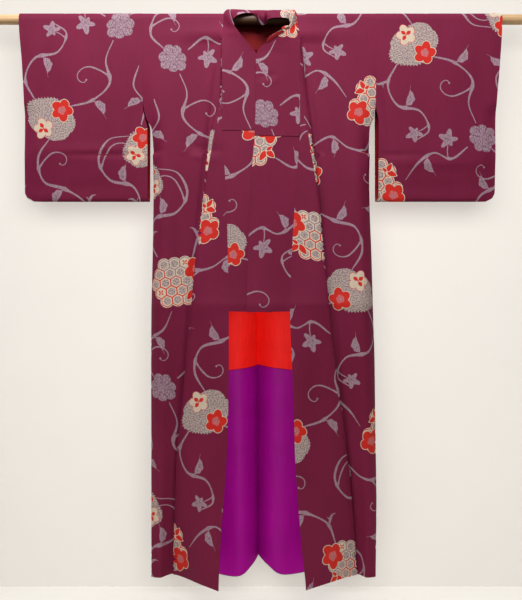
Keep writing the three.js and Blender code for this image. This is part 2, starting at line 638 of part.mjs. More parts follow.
const sleeveTube = (side) => {
  const top = Array.from({ length: SLEEVE_TOP_STEPS + 1 }, (_, k) => {
    const angle = (Math.PI * k) / SLEEVE_TOP_STEPS;
    const at = (across) => point(sleeveX(side, 0, true, across), Math.cos(angle), Math.sin(angle));
    return SLEEVE_ACROSS.map(at).map((p) => point(p.x, p.y * SHOULDER_RADIUS, p.z * SHOULDER_RADIUS));
  });
  const level = (z, front) => SLEEVE_ACROSS.map((across) => point(sleeveX(side, z, front, across), sleeveY(z, front, across), z));
  const front = SLEEVE_LEVELS.map((z) => level(z, true));
  const back = SLEEVE_LEVELS.map((z) => level(z, false)).reverse();
  const bottom = SLEEVE_ACROSS.map((across, j) => {
    const y = (front[front.length - 1][j].y + back[0][j].y) / 2;
    return point(sleeveX(side, -SLEEVE_DROP, false, across), y, -SLEEVE_DROP - 1.5);
  });
  return surface([...top, ...front, bottom, ...back], { loop: true, upright: (i, j) => j === 0 });
};

// What lies inside a surface: rows and columns of it, moved in by a gap
const INWARD = { left: 1, right: -1 };
const liningOf = (cloth, inward, rows, columns, fit = (grid) => grid) => {
  const distances = [CLOTH / 2 + LAYER_GAP, CLOTH / 2 + LAYER_GAP + LINING];
  return shell(
    ...distances.map((distance) => {
      const moved = layer(cloth, inward * distance);
      return fit(moved.slice(rows[0], rows[1] + 1).map((row) => row.slice(columns[0], columns[1] + 1)));
    }),
  );
};
const shorten = (first, second, length) => {
  first.forEach((p, j) => {
    const t = length / Math.max(p.distanceTo(second[j]), 1e-6);
    p.lerp(second[j], t);
  });
};
const backLining = (side) => {
  const rows = [backRowOf(-75), backRowOf("change")];
  return liningOf(body[side], INWARD[side], rows, [1, STRIP_COLUMNS], (grid) => {
    shorten(grid[grid.length - 1], grid[grid.length - 2], SEAM_GAP / 2);
    return grid;
  });
};
const hemLining = (side) => {
  const rows = [backRowOf("change"), backRowOf(HEM_Z)];
  return liningOf(body[side], INWARD[side], rows, [1, STRIP_COLUMNS], (grid) => {
    shorten(grid[0], grid[1], SEAM_GAP / 2);
    shorten(grid[grid.length - 1], grid[grid.length - 2], HEM_LINING_SHORT);
    return grid;
  });
};

for (const side of ["left", "right"]) {
  const sleeve = sleeveTube(side);
  const last = sleeve.grid.length - 1;
  const sleeveRows = [last - SLEEVE_LEVELS.indexOf(-462), last - SLEEVE_LEVELS.indexOf(ARMHOLE_Z)];
  add(`body_${side}`, wall(body[side]), silk);
  add(`overlap_${side}`, wall(overlapPanel(side)), silk);
  add(`sleeve_${side}`, wall(sleeve), silk);
  add(`sleeve_lining_${side}`, liningOf(sleeve, INWARD[side], sleeveRows, [0, 1]), red);
  add(`back_lining_${side}`, backLining(side), red);
  add(`hem_lining_${side}`, hemLining(side), purple);
}
add("collar", wall(collarBand(COLLAR_END_Z, COLLAR_END_Z)), silk);
add("over_collar", overCollar(), silk);

export default garment;
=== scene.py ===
"""A woman's lined silk kimono hanging open on a round wooden rod.

The wearer's left is +X, the front of the garment faces -Y and +Z is up, and the origin is the
middle of the rod's axis. Shapes are worked out in millimetres and become metres in the meshes.

Each cloth piece is a lattice of points with its own cloth coordinates: u across the cloth and v
along it. The woven figures are outlines in those coordinates. They are cut into the mesh, so that
they follow every fold, and each face knows the yarn that shows there.
"""
import logging
import math
from collections.abc import Callable
from dataclasses import dataclass, field
from enum import Enum, IntEnum
from functools import lru_cache

import bpy
import numpy as np
from mathutils import Euler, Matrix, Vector
from mathutils.geometry import delaunay_2d_cdt


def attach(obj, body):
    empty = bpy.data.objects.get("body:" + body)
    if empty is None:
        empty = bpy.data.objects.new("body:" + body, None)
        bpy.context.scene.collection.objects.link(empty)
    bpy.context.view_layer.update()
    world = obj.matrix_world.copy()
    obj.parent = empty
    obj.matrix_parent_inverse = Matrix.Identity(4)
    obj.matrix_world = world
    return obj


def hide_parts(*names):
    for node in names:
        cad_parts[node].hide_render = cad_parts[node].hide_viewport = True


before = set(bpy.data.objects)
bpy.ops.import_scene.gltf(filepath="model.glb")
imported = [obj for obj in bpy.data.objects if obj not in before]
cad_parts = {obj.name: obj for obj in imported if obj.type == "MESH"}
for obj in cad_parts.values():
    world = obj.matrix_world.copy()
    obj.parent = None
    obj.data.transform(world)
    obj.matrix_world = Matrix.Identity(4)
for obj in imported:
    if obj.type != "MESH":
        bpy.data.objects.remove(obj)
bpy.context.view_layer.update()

Array = np.ndarray
Row = list[float]
Spot = tuple[float, float]
Place = tuple[float, float, float]
LOG = logging.getLogger("kimono")
MM = 0.001


class Side(Enum):
    """The wearer's two sides."""

    LEFT = "left"
    RIGHT = "right"

    @property
    def sign(self) -> int:
        """Give the sign of X on this side."""
        return 1 if self is Side.LEFT else -1


class Yarn(IntEnum):
    """The yarns that show on the cloth, and the lining colours."""

    GROUND = 0
    VINE = 1
    SPECKLED = 2
    CREAM = 3
    RED = 4
    ROSE = 5
    RED_LINING = 6
    PURPLE_LINING = 7
    HEATHER = 8


@dataclass(frozen=True)
class Sizes:
    """The garment's driving sizes, in millimetres."""

    rod_radius: float = 13.5
    rod_length: float = 1500.0
    cloth: float = 1.6
    lining: float = 1.0
    seam_gap: float = 0.1
    seam_overlap: float = 0.8
    layer_gap: float = 0.45
    shoulder_radius: float = 15.0
    hem_z: float = -1502.0
    fold_z: float = -770.0
    neck_half_width: float = 97.0
    neck_back_z: float = -28.0
    armhole_z: float = -230.0
    side_open_z: float = -380.0
    overlap_tip_z: float = -226.0
    collar_end_z: float = -787.0
    overlap_at_collar_end: float = 135.0
    overlap_at_hem: dict[Side, float] = field(default_factory=lambda: {Side.LEFT: 172.0, Side.RIGHT: 164.0})
    over_collar_inset: float = 0.6
    lapel: float = 13.0
    over_collar_end: dict[Side, float] = field(
        default_factory=lambda: {Side.LEFT: -322.0, Side.RIGHT: -306.0}
    )
    lining_change_centre: float = -935.0
    lining_change_side: float = -956.0
    hem_lining_short: float = 2.0
    left_back_deeper: float = 16.0
    centre_back_x: float = -5.0
    centre_back_rise: float = 38.0
    sleeve_drop: float = 490.0
    sleeve_fold_z: float = -372.0
    cuff_open_z: float = -235.0
    cuff_corner: float = 24.0
    sleeve_back_shows: dict[Side, float] = field(default_factory=lambda: {Side.LEFT: 8.0, Side.RIGHT: 5.5})
    pleat_starts_z: float = -50.0
    turn_weight: float = 11.0
    pleat_share: float = 9.0
    flare_z: float = -900.0
    front_edge_drop: float = 14.0
    pleat_run_out: tuple[float, float] = (-45.0, -70.0)
    widest_side_x: float = 315.0
    grain_upright_z: float = -400.0
    sleeve_straight_z: float = -482.0
    linings_from_rod: float = 75.0
    sleeve_lining_width: float = 36.0
    sleeve_lining_end: float = 462.0
    thread_stands_off: float = 0.12
    stitch_inset: float = 2.5
    collar_bows_z: float = -165.0
    sleeve_bottom_run: float = 492.0
    sleeve_bottom_turn: float = 9.0


SIZES = Sizes()
OVER_ROD = math.pi * SIZES.shoulder_radius / 2


def mix(a: float, b: float, t: float) -> float:
    """Give the value a share of the way from a to b."""
    return a + (b - a) * t


def ramp(a: float, b: float, x: Array | float) -> Array | float:
    """Give the smooth step from 0 at a to 1 at b, also where b is the lower of the two."""
    t = np.clip((x - a) / (b - a), 0.0, 1.0)
    return t * t * (3.0 - 2.0 * t)


def unit_rows(vectors: Array) -> Array:
    """Give vectors their unit length, along the last axis."""
    return vectors / np.maximum(np.linalg.norm(vectors, axis=-1, keepdims=True), 1e-9)


def distances(line: Array) -> Array:
    """Give how far along a line each of its points lies."""
    return np.concatenate([[0], np.cumsum(np.linalg.norm(np.diff(line, axis=0), axis=1))])


def in_scene(name: str, data: bpy.types.ID) -> bpy.types.Object:
    """Make an object of its data and put it in the scene."""
    piece = bpy.data.objects.new(name, data)
    bpy.context.collection.objects.link(piece)
    return piece


class Profile:
    """Values that change with height, read smoothly from a table whose rows go downwards."""

    def __init__(self, columns: str, rows: list[Row]) -> None:
        """Keep the rows and work out the slope of every column at every row.

        Args:
            columns: The columns' names after the height.
            rows: The height and the values.
        """
        self.names = columns.split()
        table = np.array(rows, float)
        self.z, self.value = table[:, 0], table[:, 1:]
        slope = np.diff(self.value, axis=0) / np.diff(self.z)[:, None]
        self.slope = np.zeros_like(self.value)
        product, total = slope[:-1] * slope[1:], slope[:-1] + slope[1:]
        self.slope[1:-1] = np.where(product > 0, 2 * product / np.where(total == 0, 1, total), 0)

    def at(self, z: float) -> dict[str, float]:
        """Give every column's value at a height."""
        if z >= self.z[0]:
            return dict(zip(self.names, self.value[0]))
        if z <= self.z[-1]:
            return dict(zip(self.names, self.value[-1]))
        i = int(np.searchsorted(-self.z, -z, side="right")) - 1
        span = self.z[i + 1] - self.z[i]
        t = (z - self.z[i]) / span
        weights = (
            (1 + 2 * t) * (1 - t) ** 2, t * (1 - t) ** 2 * span, t * t * (3 - 2 * t), t * t * (t - 1) * span
        )
        parts = (self.value[i], self.slope[i], self.value[i + 1], self.slope[i + 1])
        return dict(zip(self.names, sum(w * p for w, p in zip(weights, parts))))


FRONT_COLUMNS = "side_x tube_y root_x root_y edge_x edge_y seam_x seam_y turn"
FRONT = {
    Side.RIGHT: Profile(FRONT_COLUMNS, [
        [0, 315, -15, 106, -15, 103, -15, 97, -15, 1.6],
        [-60, 315, -15, 95, -16.4, 104, -21, 102, -24, 1.7],
        [-110, 315, -15, 90, -17, 105, -23, 101.5, -27, 2.2],
        [-215, 315, -16, 80, -17.5, 107, -25, 101.5, -30, 2.6],
        [-265, 307, -17, 84, -18, 119, -26, 101, -31, 2.8],
        [-300, 290, -18, 86, -18, 130, -27, 101, -32, 2.9],
        [-380, 286, -20, 92, -18, 142, -29, 96, -34, 3],
        [-487, 286, -22, 104, -18, 152, -31, 89, -37, 3],
        [-640, 288, -25, 108, -18, 170, -34, 85, -41, 3],
        [-787, 291, -28, 115, -17, 183, -36, 82, -46, 3],
        [-900, 292, -26, 124, -12, 195, -34, 82, -51, 3.2],
        [-1027, 292, -24, 140, -4, 206, -28, 83, -57, 3.5],
        [-1162, 292, -21, 156, 6, 222, -17, 87, -63, 4],
        [-1297, 292, -17, 172, 16, 229, -6, 97, -69, 4.5],
        [-1420, 292, -14, 186, 24, 234, 5, 105, -75, 5],
        [-1502, 292, -12, 198, 30, 236, 13, 108, -78, 5],
    ]),
    Side.LEFT: Profile(FRONT_COLUMNS, [
        [0, 311, -15, 106, -15, 103, -15, 98, -15, 1.6],
        [-60, 311, -15, 100, -16.4, 110, -21, 107, -24, 1.7],
        [-110, 311, -15, 98, -17, 115, -23, 107, -27, 2.2],
        [-215, 311, -16, 94, -17.5, 124, -25, 107, -30, 2.6],
        [-265, 306, -17, 94, -18, 131, -26, 107, -31, 2.8],
        [-300, 294, -18, 96, -18, 136, -27, 107, -32, 2.9],
        [-380, 293, -20, 102, -18, 146, -29, 101, -34, 3],
        [-487, 294, -22, 112, -18, 158, -31, 93, -37, 3],
        [-640, 299, -25, 120, -18, 171, -35, 84, -42, 3],
        [-787, 303, -28, 128, -17, 183, -38, 79, -49, 3],
        [-900, 307, -26, 142, -12, 197, -35, 83, -53, 3.2],
        [-1027, 309, -24, 158, -4, 214, -29, 88, -57, 3.5],
        [-1162, 311, -21, 178, 6, 232, -18, 92, -61, 4],
        [-1297, 313, -17, 197, 16, 248, -7, 101, -65, 4.5],
        [-1420, 312, -14, 212, 24, 258, 2, 112, -69, 5],
        [-1502, 311, -12, 222, 30, 264, 9, 120, -71, 5],
    ]),
}
BACK = Profile("centre_y ridge_x ridge_y mid_y flank_y", [
    [0, 15, 60, 15, 15, 15],
    [-60, 23, 58, 21, 19, 17],
    [-240, 31, 56, 25, 22, 19],
    [-487, 39, 55, 23, 25, 21],
    [-787, 47, 54, 14, 28, 22],
    [-1027, 53, 54, 8, 33, 26],
    [-1297, 58, 54, 3, 42, 32],
    [-1502, 61, 54, 0, 46, 35],
])
COLLAR_FRONT = {
    Side.RIGHT: Profile("free_x free_y rise", [
        [-165, 8, -33, 14],
        [-229, 12.5, -35, 4],
        [-262, 13, -36, 0],
        [-487, 24, -41, 0],
        [-730, 31, -46, 0],
        [-787, 32, -46, -2],
    ]),
    Side.LEFT: Profile("free_x free_y rise", [
        [-165, -11, -43, 14],
        [-229, -11.5, -43.5, 4],
        [-262, -12, -44, 0],
        [-487, -26, -48, 0],
        [-730, -34, -54, 0],
        [-787, -35, -55, -2],
    ]),
}
# The collar round the neck, section by section: its place on the body's inner edge, counted from
# the top of the rod with the front negative, its free edge, and how far it stands off between them
NECK = {
    Side.RIGHT: [
        [-6, -12, -35, -98, 0],
        [-5.5, -22, -35.5, -86, 0],
        [-5, -34, -36, -71, 0],
        [-4.5, -46, -36, -57, 0],
        [-4, -56, -35.5, -44, 1],
        [-3.5, -65, -34, -32, 2],
        [-3, -70.5, -32, -24, 3],
        [-2, -73, -29, -17, 4],
        [-1, -73.5, -26.5, -12.5, 5],
        [0, -73, -24.5, -9, 6],
        [1, -72, -23, -6.5, 6],
        [2, -70, -30.5, -6.9, 6],
        [3, -67, -29, -3.9, 6],
        [4, -60, -27, 2.1, 7],
        [5, -48, -24, 8.1, 7],
        [5.3, -36, -22, 11.1, 7],
        [5.65, -18, -14, 9, 6],
        [5.87, -6, -18, -2, 4],
    ],
    Side.LEFT: [
        [5.97, 8, -22, -22, 2],
        [5.85, 18, -20, -9, 3],
        [5.62, 32, -28, -5.9, 4],
        [5.3, 50, -28, -4.9, 4],
        [5, 64, -28.5, -5.4, 5],
        [4, 72, -29.5, -6.9, 5],
        [3, 77, -22, -7, 5],
        [2, 79.5, -23, -10, 5],
        [1, 81, -24, -13, 5],
        [0, 82, -25.5, -16, 4],
        [-1, 82.3, -27, -19.5, 4],
        [-2, 81.5, -29, -23.5, 3],
        [-3, 79, -31.5, -28, 3],
        [-3.5, 73, -34.5, -35, 2],
        [-4, 62, -37.5, -43, 1],
        [-4.5, 48, -40.5, -51, 0],
        [-5, 30, -42.5, -64, 0],
        [-5.5, 10, -43, -80, 0],
        [-6, -8, -43, -100, 0],
    ],
}
# Where those places are: the distance along the cloth from the top of the rod
NECK_PLACES = [-7, -6, -5, -4, -3, 3, 4, 5, 6]
NECK_RUNS = [
    *(z - OVER_ROD for z in (SIZES.collar_bows_z, -110, -70, -45, 0)),
    *(drop + OVER_ROD for drop in (0, 9, 18, 28)),
]
SLEEVE_EDGES = {
    Side.RIGHT: Profile("inner outer", [
        [0, 315, 647],
        [-125, 315, 638],
        [-230, 315, 633],
        [-300, 297, 632],
        [-490, 297, 634],
    ]),
    Side.LEFT: Profile("inner outer", [
        [0, 311, 650],
        [-125, 311, 643],
        [-230, 311, 635],
        [-300, 311, 633],
        [-490, 311, 633],
    ]),
}


def spline(controls: Array, samples: int) -> Array:
    """Run a smooth curve through points, with the same number of steps between each two.

    Args:
        controls: The points, or several columns of points side by side, one row each.
        samples: The steps from one control to the next.

    Returns:
        The curve's points.
    """
    p = np.concatenate([[2 * controls[0] - controls[1]], controls, [2 * controls[-1] - controls[-2]]])
    gap = np.sqrt(np.maximum(np.linalg.norm(np.diff(p, axis=0), axis=-1, keepdims=True), 1e-4))
    a, b, c, d = p[:-3], p[1:-2], p[2:-1], p[3:]
    before, here, after = gap[:-2], gap[1:-1], gap[2:]
    start = ((b - a) / before - (c - a) / (before + here) + (c - b) / here) * here
    end = ((c - b) / here - (d - b) / (here + after) + (d - c) / after) * here
    t = (np.arange(samples) / samples).reshape([1, -1] + [1] * (p.ndim - 1))
    b, c, start, end = b[:, None], c[:, None], start[:, None], end[:, None]
    curve = b + start * t + (-3 * b + 3 * c - 2 * start - end) * t**2 + (2 * b - 2 * c + start + end) * t**3
    return np.concatenate([curve.reshape(-1, *p.shape[1:]), controls[-1:]])


class Path:
    """A level section of the cloth, with its length and its turning added up along it."""

    SAMPLES = 20

    def __init__(self, controls: list[Place]) -> None:
        """Run the path through its controls."""
        self.points = spline(np.array(controls, float), self.SAMPLES)
        steps = np.diff(self.points, axis=0)
        size = np.linalg.norm(steps, axis=1)
        ahead = unit_rows(steps)
        turn = np.arccos(np.clip((ahead[:-1] * ahead[1:]).sum(axis=1), -1, 1))
        self.lengths = np.concatenate([[0], np.cumsum(size)])
        self.weights = np.concatenate([[0], np.cumsum(size + SIZES.turn_weight * np.append(turn, 0))])
        self.total = float(self.lengths[-1])

    def at(self, lengths: Array) -> Array:
        """Give the points at distances along the path."""
        return np.stack([np.interp(lengths, self.lengths, self.points[:, k]) for k in range(3)], axis=-1)

    def cut(self, start: float, end: float, columns: int) -> Array:
        """Give distances from start to end, closer together where the path turns."""
        low, high = np.interp([start, end], self.lengths, self.weights)
        return np.interp(np.linspace(low, high, columns + 1), self.weights, self.lengths)


@dataclass(frozen=True)
class Section:
    """A side's level section: one path round the side, or two where the side is open."""

    front: Path
    back: Path
    front_start: float
    back_end: float


def stands_forward(z: float, depth: float = 7.0) -> float:
    """Give how far the garment stands forward at a height, most at the storage fold."""
    above = np.clip(z / SIZES.fold_z, 0, 1)
    below = np.clip((SIZES.hem_z - z) / (SIZES.hem_z - SIZES.fold_z), 0, 1)
    return -depth * min(above, below) ** 1.6


def armhole_half(z: float) -> float:
    """Give half the distance between front and back where the sleeve is sewn on."""
    return mix(SIZES.shoulder_radius, 9, ramp(-60, -330, z))


def over_rod(row: Array, angle: float) -> Array:
    """Lay a row on the shoulder at an angle round the rod, from its front over the top."""
    turned = row.copy()
    turned[:, 1] = -SIZES.shoulder_radius * math.cos(angle)
    turned[:, 2] = SIZES.shoulder_radius * math.sin(angle)
    return turned


@dataclass(frozen=True)
class Crease:
    """A soft trough or ridge in hanging cloth, along a line at x, z; a negative height is a trough."""

    start: Spot
    end: Spot
    height: float
    width: float
    bend: float = 0.0

    def lift(self, x: Array, z: Array) -> Array:
        """Give how far the crease moves the cloth outwards at each place."""
        a, b = np.array(self.start), np.array(self.end)
        along = b - a
        length = float(np.hypot(*along))
        t = ((x - a[0]) * along[0] + (z - a[1]) * along[1]) / length**2
        off = ((x - a[0]) * along[1] - (z - a[1]) * along[0]) / length
        inside = np.clip(t, 0, 1)
        off = off - self.bend * np.sin(np.pi * inside)
        past = np.abs(t - inside) * length
        fade = np.sin(np.pi * np.clip(inside * 0.92 + 0.04, 0, 1)) ** 0.7
        return self.height * fade * np.exp(-((off / self.width) ** 2) - (past / self.width) ** 2)


@dataclass(frozen=True)
class Relief:
    """The folds that the cloth keeps besides its main form, for its front or its back.

    soft: the height of its slow unevenness. groove: how far the centre seam lies back below the waist.
    """

    STORAGE_FOLD = 5.0
    STORAGE_FOLD_WIDTH = 27.0
    GROOVE_WIDTH = 5.0

    creases: tuple[Crease, ...]
    seed: int
    soft: float
    groove: float = 0.0

    def lift(self, x: Array, z: Array) -> Array:
        """Add up the creases, the storage fold and a slow unevenness of the cloth."""
        total = sum(crease.lift(x, z) for crease in self.creases)
        body, below_waist = ramp(330, 300, np.abs(x)), ramp(-520, -700, z)
        from_fold, from_seam = np.abs(z - SIZES.fold_z - 0.012 * x), np.abs(x - SIZES.centre_back_x)
        total = total + body * self.STORAGE_FOLD * np.exp(-from_fold / self.STORAGE_FOLD_WIDTH)
        total = total + self.groove * np.exp(-from_seam / self.GROOVE_WIDTH) * below_waist
        rng = np.random.default_rng(self.seed)
        for _ in range(9):
            wave, phase = rng.uniform(0.006, 0.03, 2) * rng.choice([-1, 1], 2), rng.uniform(0, 6.3)
            total = total + self.soft * 0.22 * np.sin(wave[0] * x * 1.6 + wave[1] * 0.45 * z + phase)
        return total * ramp(-25, -90, z)


@dataclass
class Cloth:
    """A lattice of points on the middle of a cloth, with the cloth's own coordinates.

    points: rows by columns of places, in millimetres.
    u: how far across the cloth each point lies.
    v: how far along the cloth each row lies.
    outward: 1 or -1, which turns the lattice's normals to the outside of the garment.
    """

    points: Array
    u: Array
    v: Array
    outward: int
    upright: Array | None = None

    def __post_init__(self) -> None:
        """Work out the outward normals."""
        down = np.gradient(self.points, axis=0)
        across = np.gradient(self.points, axis=1)
        normals = np.cross(across, down) * self.outward
        self.shading = unit_rows(normals.copy())
        if self.upright is not None:
            normals[self.upright, 0] = 0.0
        self.normals = unit_rows(normals)

    def places(self, uv: Array) -> tuple[Array, Array, Array]:
        """Find points at cloth coordinates, the way their thickness goes, and the normals to shade with."""
        last_row, last_column = len(self.v) - 1, self.u.shape[1] - 1
        row = np.clip(np.interp(uv[:, 1], self.v, np.arange(last_row + 1.0)), 0, last_row - 1e-6)
        i = row.astype(int)
        t = (row - i)[:, None]
        low = np.zeros(len(uv), int)
        high = np.full(len(uv), last_column)

        def level(j: Array) -> Array:
            """Give u at a column, between the two rows."""
            return self.u[i, j] * (1 - t[:, 0]) + self.u[i + 1, j] * t[:, 0]

        for _ in range(8):
            middle = (low + high) // 2
            right = level(middle) <= uv[:, 0]
            low, high = np.where(right, middle, low), np.where(right, high, middle)
        low = np.minimum(low, last_column - 1)
        a, b = level(low), level(low + 1)
        s = np.clip((uv[:, 0] - a) / np.maximum(b - a, 1e-9), -0.6, 1.6)[:, None]

        def blend(grid: Array, s: Array) -> Array:
            """Read a grid between its four nearest points."""
            upper = grid[i, low] * (1 - s) + grid[i, low + 1] * s
            lower = grid[i + 1, low] * (1 - s) + grid[i + 1, low + 1] * s
            return upper * (1 - t) + lower * t

        shading = unit_rows(blend(self.shading, np.clip(s, 0, 1)))
        return blend(self.points, s), unit_rows(blend(self.normals, s)), shading

    def outline(self, stride: tuple[int, int] = (2, 2)) -> Array:
        """Give the lattice's edge in cloth coordinates, thinned by a stride."""
        rows, columns = thinned(len(self.v), stride[0]), thinned(self.u.shape[1], stride[1])
        one = [(self.u[i, 0], self.v[i]) for i in rows]
        two = [(self.u[-1, j], self.v[-1]) for j in columns[1:]]
        three = [(self.u[i, -1], self.v[i]) for i in rows[::-1][1:]]
        four = [(self.u[0, j], self.v[0]) for j in columns[::-1][1:-1]]
        return np.array(one + two + three + four)

    def nodes(self, stride: tuple[int, int]) -> Array:
        """Give the lattice's own places in cloth coordinates, thinned by a stride."""
        rows, columns = thinned(len(self.v), stride[0]), thinned(self.u.shape[1], stride[1])
        u = self.u[np.ix_(rows, columns)]
        return np.stack([u.ravel(), np.repeat(self.v[rows], len(columns))], axis=1)


def thinned(count: int, stride: int) -> list[int]:
    """Give every stride-th index, and the last."""
    return sorted({*range(0, count, stride), count - 1})


class BodyForm:
    """One side of the body: its level sections, and the rows of cloth points cut from them."""

    COLUMNS = 104
    OVERLAP_COLUMNS = 40
    OVERLAP_ROWS = 214
    FRONT_ROWS = 230
    BACK_ROWS = 236
    ROD_ROWS = 13
    NECK_ROWS = 15

    def __init__(self, side: Side) -> None:
        """Keep the side."""
        self.side = side

    @lru_cache(maxsize=4096)
    def section(self, z: float) -> Section:
        """Give the level section at a height, from the centre back to the front edge."""
        s, f, b = self.side.sign, FRONT[self.side].at(z), BACK.at(z)
        forward = stands_forward(z)

        def at(x: float, y: float, up: float = 0.0) -> Place:
            """Give a control on this side."""
            return s * x, y + forward, z + up

        def rise(x: float) -> float:
            """Give how far the back is drawn up towards its centre seam."""
            return SIZES.centre_back_rise * math.exp(-((x / 30) ** 2)) * ramp(SIZES.flare_z, SIZES.hem_z, z)

        deeper = SIZES.left_back_deeper * ramp(-300, SIZES.hem_z, z) if self.side is Side.LEFT else 0.0
        side_x, ridge_x = f["side_x"], b["ridge_x"]
        shut = ramp(SIZES.side_open_z + 60, SIZES.side_open_z - 60, z)
        gape = 1 - ramp(SIZES.side_open_z + 90, SIZES.side_open_z, z)
        seam_y, half_open = mix(0, 6, shut), gape * armhole_half(z)
        back = [
            (SIZES.centre_back_x, b["centre_y"] + forward, z + rise(0)),
            at(ridge_x * 0.42, mix(b["centre_y"], b["ridge_y"], 0.62), rise(ridge_x * 0.42)),
            at(ridge_x, b["ridge_y"] + deeper),
            at(mix(ridge_x, side_x, 0.46), b["mid_y"] + deeper * 0.4),
            at(mix(ridge_x, side_x, 0.84), b["flank_y"]),
        ]
        front = self.front_controls(z, f, at)
        if half_open > 0.6:
            back_path = Path([*back, at(side_x, seam_y + half_open)])
            front_path = Path([at(side_x, seam_y - half_open), *front])
            return Section(front_path, back_path, 0.0, back_path.total)
        tube = at(side_x, mix(f["tube_y"], -4, shut))
        whole = Path([*back, at(side_x - 5 * shut, seam_y), tube, *front])
        seam = float(whole.lengths[len(back) * Path.SAMPLES])
        return Section(whole, whole, seam, seam)

    def front_controls(self, z: float, f: dict[str, float], at: Callable) -> list[Place]:
        """Give the front's controls, from inside the side tube through the pleat to the edge."""
        end = at(f["seam_x"], f["seam_y"])
        side_x, turn = f["side_x"], f["turn"]
        if z >= SIZES.pleat_starts_z:
            return [
                *(at(mix(side_x, f["seam_x"], t), mix(f["tube_y"], f["seam_y"], t)) for t in (0.5, 0.8)),
                end,
            ]
        shut = ramp(SIZES.side_open_z + 60, SIZES.side_open_z - 60, z)
        controls = [
            at(side_x - mix(30, 24, shut), f["tube_y"] - 1),
            at(mix(side_x, f["root_x"], 0.42), mix(f["tube_y"], f["root_y"], 0.42) - 1),
            at(f["root_x"] + 2 * turn, f["root_y"] + turn),
            at(f["root_x"], f["root_y"]),
            at(f["root_x"] + 2 * turn, f["root_y"] - turn),
            at(f["edge_x"] - 2 * turn, f["edge_y"] + turn),
            at(f["edge_x"], f["edge_y"]),
            at(f["edge_x"] - 2 * turn, f["edge_y"] - turn),
        ]
        if f["edge_x"] - f["seam_x"] > 1.2:
            controls.append(
                at(mix(f["edge_x"], f["seam_x"], 0.6), mix(f["edge_y"] - turn, f["seam_y"], 0.66))
            )
        return [*controls, end]

    def overlap_width(self, z: float) -> float:
        """Give how wide the overlap panel is at a height."""
        if z > SIZES.armhole_z:
            return 0.0
        if z > SIZES.collar_end_z:
            reach = SIZES.overlap_tip_z - SIZES.collar_end_z
            return SIZES.overlap_at_collar_end * (SIZES.overlap_tip_z - z) / reach
        t = (SIZES.collar_end_z - z) / (SIZES.collar_end_z - SIZES.hem_z)
        return mix(SIZES.overlap_at_collar_end, SIZES.overlap_at_hem[self.side], t)

    @lru_cache(maxsize=8)
    def flat_shares(self, columns: int) -> Array:
        """Give how the columns stand above the pleat, where its stretch runs together."""
        level = SIZES.pleat_run_out[1]
        row, _ = self.front_row(level, SIZES.seam_gap / 2, SIZES.seam_gap / 2, columns)
        lengths = distances(row)
        f = FRONT[self.side].at(level)
        pleat = 2 * (f["edge_x"] - f["root_x"]) + 4
        wide, left = abs(row[0, 0] - row[-1, 0]), lengths[-1] - lengths
        beyond = SIZES.pleat_share + (wide - SIZES.pleat_share) * (left - pleat) / (lengths[-1] - pleat)
        return 1 - np.where(left < pleat, SIZES.pleat_share * left / pleat, beyond) / wide

    def front_row(self, z: float, start: float, end: float, columns: int) -> tuple[Array, Array]:
        """Cut one row out of the front.

        Args:
            z: The height.
            start: How far from the side the row starts.
            end: How far from the front edge it ends.
            columns: How many steps it has.

        Returns:
            The points, and how far across the cloth each lies.
        """
        high, low = SIZES.pleat_run_out
        if low < z < high:
            t = (high - z) / (high - low)
            upper, lower = (self.front_row(level, start, end, columns) for level in (high, low))
            return mix(upper[0], lower[0], t), mix(upper[1], lower[1], t)
        section = self.section(z)
        path, first = section.front, section.front_start
        if z > SIZES.pleat_starts_z and columns > 1:
            lengths = mix(first + start, path.total - end, self.flat_shares(columns))
        else:
            lengths = path.cut(first + start, path.total - end, columns)
        points = path.at(lengths)
        far = np.linalg.norm(points - path.points[-1], axis=1) / ((path.total - first) * 0.45)
        across = np.maximum(0, 1 - np.minimum(1, far))
        points[:, 2] -= SIZES.front_edge_drop * ramp(SIZES.flare_z, SIZES.hem_z, z) * across**2
        return points, lengths - first + self.outset(z)

    def back_row(self, z: float, inner: float, columns: int) -> tuple[Array, Array]:
        """Cut one row out of the back, from the side to a distance from the centre seam."""
        section = self.section(z)
        even = ramp(0, -150, z)
        shares = mix(self.flat_shares(columns), np.linspace(0, 1, columns + 1), even)
        lengths = mix(section.back_end - SIZES.seam_gap / 2, inner, shares)
        return section.back.at(lengths), section.back_end - lengths + self.outset(z)

    def outset(self, z: float) -> float:
        """Give how much cloth is turned in at the side seam, so that the grain stays upright."""
        return SIZES.widest_side_x - FRONT[self.side].at(max(z, SIZES.grain_upright_z))["side_x"]

    def front_edge(self, z: float) -> tuple[Array, Array]:
        """Give the front edge at a height and the direction that leads out of the cloth there."""
        section = self.section(z)
        path = section.front
        places = path.at(np.array([path.total - SIZES.seam_gap / 2 - 2, path.total - SIZES.seam_gap / 2]))
        places[:, 2] -= SIZES.front_edge_drop * ramp(SIZES.flare_z, SIZES.hem_z, z)
        return places[1], unit_rows(places[1] - places[0])

